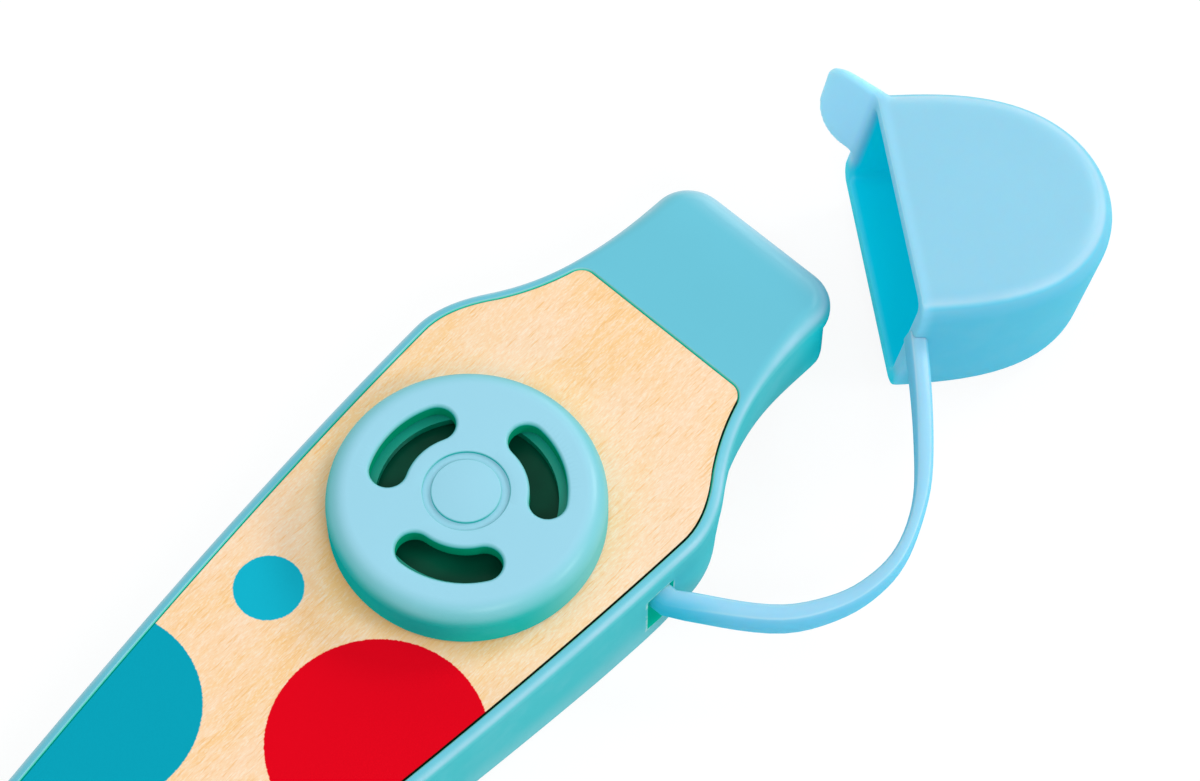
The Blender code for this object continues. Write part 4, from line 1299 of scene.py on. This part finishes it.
# painted light on the wall towards the lamps, painted shade on the wall away from them
painted_lit_share = desk.product(on_wall, desk.steps(lampward, *PALE_FACING, 0.0, PALE_MOST))
painted_shade_share = desk.product(on_wall, desk.steps(lampward, *DEEP_FACING, DEEP_MOST, 0.0))
tone = desk.mix(painted_lit_share, look["Tone"], LIT_WALL)
tone = desk.mix(painted_shade_share, tone, SHADED_WALL)
# painted shade: the windows' inner walls turn green
desk.plug(shader, "Base Color", desk.mix(desk.mark("sunk_shade"), tone, WINDOW_SHADE_GREEN))
dress(turret, turret_finish)

# %% [markdown]
# ## Silicone
# Silicone takes a softer, duller skin than the plastic, and lets some light in. Real depth
# could be had with a glass-like shader, but subsurface scattering over a millimetre or two
# gives the same milky softness and renders cleanly. The cap's marks paint its inside deeper
# and its thin tab paler, both with a faint painted glow; the strap's mark paints shade on
# its root.

# %% Silicone finishes
SILICONE_LOOK = {"gloss": 0.45, "cloud": 0.03, "polish": 0.45, "rub": 0.36, "scuff": 0.03,
                 "rub_low": 0.68, "rub_tone": paint(205, 232, 246)}
SOFT_SHARE, SOFT_REACH, SOFT_UNIT = 0.6, (0.5, 1.6, 2.0), 0.001     # red, green and blue in mm
CAP_TONES = {"flat_tone": paint(144, 205, 227), "steep_tone": paint(90, 191, 221)}
# painted light: the thin tab's paler tone and glow, the inside's deeper tone and glow
TAB_TONE, TAB_GLOW = paint(156, 218, 246), paint(72, 100, 112)
INSIDE_TONE, INSIDE_GLOW = paint(0, 192, 223), paint(0, 113, 111)
STRAP_TONES = {"flat_tone": paint(158, 214, 240), "steep_tone": paint(104, 198, 232)}
# painted shade on the strap's root, and how strong
ROOT_SHADE_TONE, ROOT_MOST = paint(0, 186, 216), 0.78


def silicone(name, tones):
    """Finish for one silicone piece."""
    material, desk, shader, place, look = moulded(name, **tones, **SILICONE_LOOK)
    set_plain(shader, Subsurface_Weight=SOFT_SHARE, Subsurface_Radius=SOFT_REACH,
              Subsurface_Scale=SOFT_UNIT)
    return material, desk, shader, look


cap_finish, desk, shader, look = silicone("cap_silicone", CAP_TONES)
inside, thin = desk.mark("inside"), desk.mark("thin")
# painted light: the thin tab and lip turn paler and glow
tone = desk.mix(thin, look["Tone"], TAB_TONE)
glow = desk.mix(thin, BLACK, TAB_GLOW)
# painted light: the inside of the cup turns deeper and glows
desk.plug(shader, "Base Color", desk.mix(inside, tone, INSIDE_TONE))
desk.plug(shader, "Emission Color", desk.mix(inside, glow, INSIDE_GLOW))
set_plain(shader, Emission_Strength=1.0)
dress(cap, cap_finish)

strap_finish, desk, shader, look = silicone("strap_silicone", STRAP_TONES)
# painted shade on the strap's root, where it leaves the slot
painted_root_shade = desk.product(desk.mark("root"), ROOT_MOST)
desk.plug(shader, "Base Color", desk.mix(painted_root_shade, look["Tone"], ROOT_SHADE_TONE))
dress(strap, strap_finish)
dress(nodes["strap_anchor"], strap_finish)

# %% [markdown]
# ## The membrane
# A thin dark film that buzzes when the player hums. It shows deep green through the
# windows, a little slack, with a faint ripple from its clamping. So little of it is seen
# that one noise is enough, for both the colour and the ripple.

# %% Membrane finish
RIPPLE_SCALE, RIPPLE_STRENGTH, RIPPLE_DEPTH = 220.0, 0.5, 0.0003
FILM_ROUGHNESS, FILM_SHEEN = 0.3, 0.1
FILM_DARK, FILM_PALE = paint(0, 66, 48), paint(2, 96, 72)

film_finish, desk, shader, place = start_finish("membrane_film")
ripple = desk.noise(place, RIPPLE_SCALE, detail=2.0)
desk.plug(shader, "Base Color", desk.mix(ripple, FILM_DARK, FILM_PALE))
desk.plug(shader, "Normal", desk.bump(ripple, RIPPLE_STRENGTH, RIPPLE_DEPTH))
set_plain(shader, Roughness=FILM_ROUGHNESS, Specular_IOR_Level=FILM_SHEEN)
dress(nodes["membrane"], film_finish)

# %% [markdown]
# ## Printed dots
# Round dots are printed on the wood. An image would do for them, but a distance from the
# dot's middle gives an edge that stays sharp from any distance. The ink sits on the fibres,
# so its edge wavers by about a tenth of a millimetre. One small group makes a dot over
# whatever colour it is given, and is placed once for each dot.

# %% Dot group
WAVER_SCALE, WAVER_MOST = 3000.0, 0.00022
INK_EDGE = 0.00006                  # half the width of the ink's soft edge

desk, given, end = start_group(
    "printed_dot",
    [(VECTOR, "Place", None), (VECTOR, "Middle", None), (FLOAT, "Radius", 0.005),
     (COLOUR, "Under", None), (COLOUR, "Ink", None)],
    [(COLOUR, "Tone"), (FLOAT, "Cover")])
from_middle = desk.vector("SUBTRACT", given["Place"], given["Middle"])[0]
away = desk.level_length(desk.split(from_middle))
unsteady = desk.math("SUBTRACT", desk.noise(given["Place"], WAVER_SCALE, detail=2.0), 0.5)
waver = desk.math("MULTIPLY", unsteady, WAVER_MOST)
past_edge = desk.math("SUBTRACT", desk.math("ADD", away, waver), given["Radius"])
cover = desk.steps(past_edge, -INK_EDGE, INK_EDGE, 1.0, 0.0)
desk.plug(end, "Cover", cover)
desk.plug(end, "Tone", desk.mix(cover, given["Under"], given["Ink"]))
printed_dot = desk.tree
print("group:", printed_dot.name, "nodes:", len(printed_dot.nodes))

# %% [markdown]
# ## The wood
# Pale close-grained wood under a thin matt lacquer, with the grain along the body. It is
# four noises, each drawn out along X: broad clouds of colour, soft streaks, fine pale and
# dark fibres, and thin pores. A wood picture would repeat or blur; noises do neither. The
# dots are laid over the wood one after the other.

# %% Wood finish
CLOUD_STRETCH, STREAK_STRETCH = (45.0, 150.0, 60.0), (380.0, 1900.0, 800.0)
FIBRE_STRETCH, PORE_STRETCH = (1900.0, 8200.0, 800.0), (420.0, 4600.0, 800.0)
RED, TEAL, BLUE = paint(228, 2, 26), paint(4, 162, 186), paint(16, 180, 206)
# middle along and across the body, radius, ink
DOTS = ((-0.0254, -0.0110, 0.0117, RED), (-0.0426, 0.0134, 0.0114, TEAL),
        (-0.0204, 0.0097, 0.0038, BLUE), (-0.0475, -0.0030, 0.0042, BLUE),
        (-0.0615, -0.0105, 0.0090, TEAL), (-0.0655, 0.0085, 0.0062, RED))
SHADE_WIDTH, SHADE_MOST = 0.0024, 0.6           # warm shade beside the turret
SHADE_WAY = (-0.98, 0.19)                       # away from the key lamp
SHADE_TONE = paint(224, 166, 92)
WOOD_WARM, WOOD_PALE, CLOUD_RANGE = paint(253, 210, 153), paint(254, 220, 184), (0.32, 0.68)

wood_finish, desk, shader, place = start_finish("pale_wood")
clouds = desk.streaky(place, CLOUD_STRETCH, detail=3.0, rough=0.55)
streaks = desk.streaky(place, STREAK_STRETCH, detail=3.0, rough=0.6)
fibres = desk.streaky(place, FIBRE_STRETCH, detail=2.0, rough=0.5)
pores = desk.streaky(place, PORE_STRETCH, detail=2.0, rough=0.55)
tone = desk.mix(desk.steps(clouds, *CLOUD_RANGE), WOOD_WARM, WOOD_PALE)
# noise, its range, the layer's share at both ends of that range, the layer's tone
wood_layers = ((streaks, (0.42, 0.72), (0.0, 0.5), paint(255, 230, 204)),
               (fibres, (0.5, 0.7), (0.0, 0.55), paint(255, 240, 220)),
               (fibres, (0.3, 0.48), (0.35, 0.0), paint(250, 198, 138)),
               (pores, (0.56, 0.72), (0.0, 0.62), paint(246, 190, 120)))
for noise, noise_range, layer_shares, layer_tone in wood_layers:
    tone = desk.mix(desk.steps(noise, *noise_range, *layer_shares), tone, layer_tone)
spot = desk.split(place)
from_axis = desk.level_length(spot)
beside = desk.steps(from_axis, TURRET_RADIUS, TURRET_RADIUS + SHADE_WIDTH, SHADE_MOST, 0.0)
behind = desk.steps(desk.level_reach(spot, SHADE_WAY), 0.0, TURRET_RADIUS)
tone = desk.mix(desk.product(beside, behind), tone, SHADE_TONE)
for along, across, radius, ink in DOTS:
    dot = desk.put("ShaderNodeGroup", {"node_tree": printed_dot}, Place=place,
                   Middle=(along, across, 0.0), Radius=radius, Under=tone, Ink=ink)
    tone = dot.outputs["Tone"]
dress(panel, wood_finish)
print("dots printed:", len(DOTS))

# %% [markdown]
# ## The board's edge and lacquer
# The board's cut edge is end grain, painted very dark, partly as painted shade of the gap
# that light hardly enters. Its face is lacquered, so it has next to no gloss, and the fibres
# stand up by a few hundredths of a millimetre. The pale turret throws some light back on
# the board round its foot, which a faint glow of the board's own colour gives without a
# long render.

# %% Board edge
CUT_FACING = (0.1, 0.5)             # upward facing, from the cut edge to the face
BOUNCE_WIDTH, BOUNCE_MOST = 0.0070, 0.11
FIBRE_STRENGTH, FIBRE_DEPTH = 0.3, 0.00006
FIBRE_RANGE, LACQUER_ROUGHNESS, LACQUER_SHEEN = (0.2, 0.8), (0.46, 0.6), 0.03
# end grain darkened further by painted shade of the gap
END_GRAIN_AND_SHADE = paint(40, 26, 18)

# painted: the cut edge turns dark, end grain and painted shade of the gap
cut_edge = desk.steps(desk.facing()["Z"], *CUT_FACING, 1.0, 0.0)
tone = desk.mix(cut_edge, tone, END_GRAIN_AND_SHADE)
bounce = desk.steps(from_axis, TURRET_RADIUS, TURRET_RADIUS + BOUNCE_WIDTH, BOUNCE_MOST, 0.0)
desk.plug(shader, "Base Color", tone)
desk.plug(shader, "Emission Color", desk.mix(bounce, BLACK, tone))
desk.plug(shader, "Roughness", desk.steps(fibres, *FIBRE_RANGE, *LACQUER_ROUGHNESS))
desk.plug(shader, "Normal", desk.bump(fibres, FIBRE_STRENGTH, FIBRE_DEPTH))
set_plain(shader, Emission_Strength=1.0, Specular_IOR_Level=LACQUER_SHEEN)
print("wood finish nodes:", len(desk.tree.nodes))

# %% [markdown]
# ## The table
# The kazoo lies on a plain white table. A lit table comes out grey, and more light would
# burn out the toy. So it has two looks: to light it is a plain pale surface, and to the
# camera it glows up to white, with a dark share left over that still takes the shadow.

# %% Floor
TABLE_SIZE, TABLE_BELOW = 2.0, 0.0001
TABLE_GREY, SHADOW_GREY, TABLE_GLOW = 0.86, 0.13, 0.895


def seen_directly(desk):
    """1 for rays from the camera or a mirror image, 0 for rays that only carry light."""
    rays = desk.put("ShaderNodeLightPath").outputs
    seen = desk.math("ADD", rays["Is Camera Ray"], rays["Is Glossy Ray"])
    return desk.math("ADD", seen, rays["Is Transmission Ray"], clamp=True)


def grey(level):
    return (level, level, level, 1.0)


bm = bmesh.new()
bmesh.ops.create_grid(bm, x_segments=1, y_segments=1, size=TABLE_SIZE)
table = make_piece("table", bm)
table.location = (0.0, 0.0, -TABLE_BELOW)
table_finish = bpy.data.materials.new("white_table")
table_finish.use_nodes = True
table_finish.node_tree.nodes.clear()
desk = Desk(table_finish.node_tree)
plain = desk.put("ShaderNodeBsdfDiffuse", None, Color=grey(TABLE_GREY)).outputs[0]
shadow = desk.put("ShaderNodeBsdfDiffuse", None, Color=grey(SHADOW_GREY)).outputs[0]
shine = desk.put("ShaderNodeEmission", None, Color=WHITE, Strength=TABLE_GLOW).outputs[0]
white = desk.put("ShaderNodeAddShader", None, i0=shadow, i1=shine).outputs[0]
surface = desk.put("ShaderNodeMixShader", None, i0=seen_directly(desk), i1=plain, i2=white)
desk.put("ShaderNodeOutputMaterial", None, Surface=surface.outputs[0])
dress(table, table_finish)

# %% [markdown]
# ## The sky
# An even white sky lights the toy from all round, as a photographer's tent does. It is
# white where the camera sees it and dimmer as a light, so the lamps can still shape the
# piece. An environment picture would bring in reflections that don't belong here.

# %% Sky
SKY_STRENGTH = 0.56
world = bpy.data.worlds.new("studio")
bpy.context.scene.world = world
world.use_nodes = True
world.node_tree.nodes.clear()
desk = Desk(world.node_tree)
strength = desk.steps(seen_directly(desk), 0.0, 1.0, SKY_STRENGTH, 1.0)
sky = desk.put("ShaderNodeBackground", None, Color=WHITE, Strength=strength).outputs[0]
desk.put("ShaderNodeOutputWorld", None, Surface=sky)
print("sky strength as a light:", SKY_STRENGTH)

# %% [markdown]
# ## The lamps
# Five round lamps, like softboxes, stand about a metre off. The key lamp and its two
# neighbours on the right and at the front draw the bright edges, one near the camera
# lightens the near wall, and a large one on the left fills the shadows. Each is placed by a
# direction from the kazoo, so moving one is a change of one line.

# %% Lamps
# name, direction from the kazoo, distance, width, watts
LAMPS = (("key_lamp", (0.80, -0.17, 0.58), 0.9, 0.26, 1.7),
         ("front_lamp", (0.84, 0.31, 0.30), 0.9, 0.40, 1.0),
         ("side_lamp", (0.34, -0.75, 0.50), 0.9, 0.26, 1.6),
         ("near_lamp", (-0.33, -0.55, 0.72), 0.9, 0.26, 1.4),
         ("fill_lamp", (-0.5, 0.6, 0.9), 1.1, 0.8, 1.4))

for name, direction, distance, width, watts in LAMPS:
    lamp_data = bpy.data.lights.new(name, "AREA")
    lamp_data.shape = "DISK"
    lamp_data.size = width
    lamp_data.energy = watts
    lamp = bpy.data.objects.new(name, lamp_data)
    lamp.location = LOOK_AT + distance * Vector(direction).normalized()
    aim(lamp)
bpy.context.scene.view_settings.view_transform = "Standard"
print("lamps:", len(LAMPS))
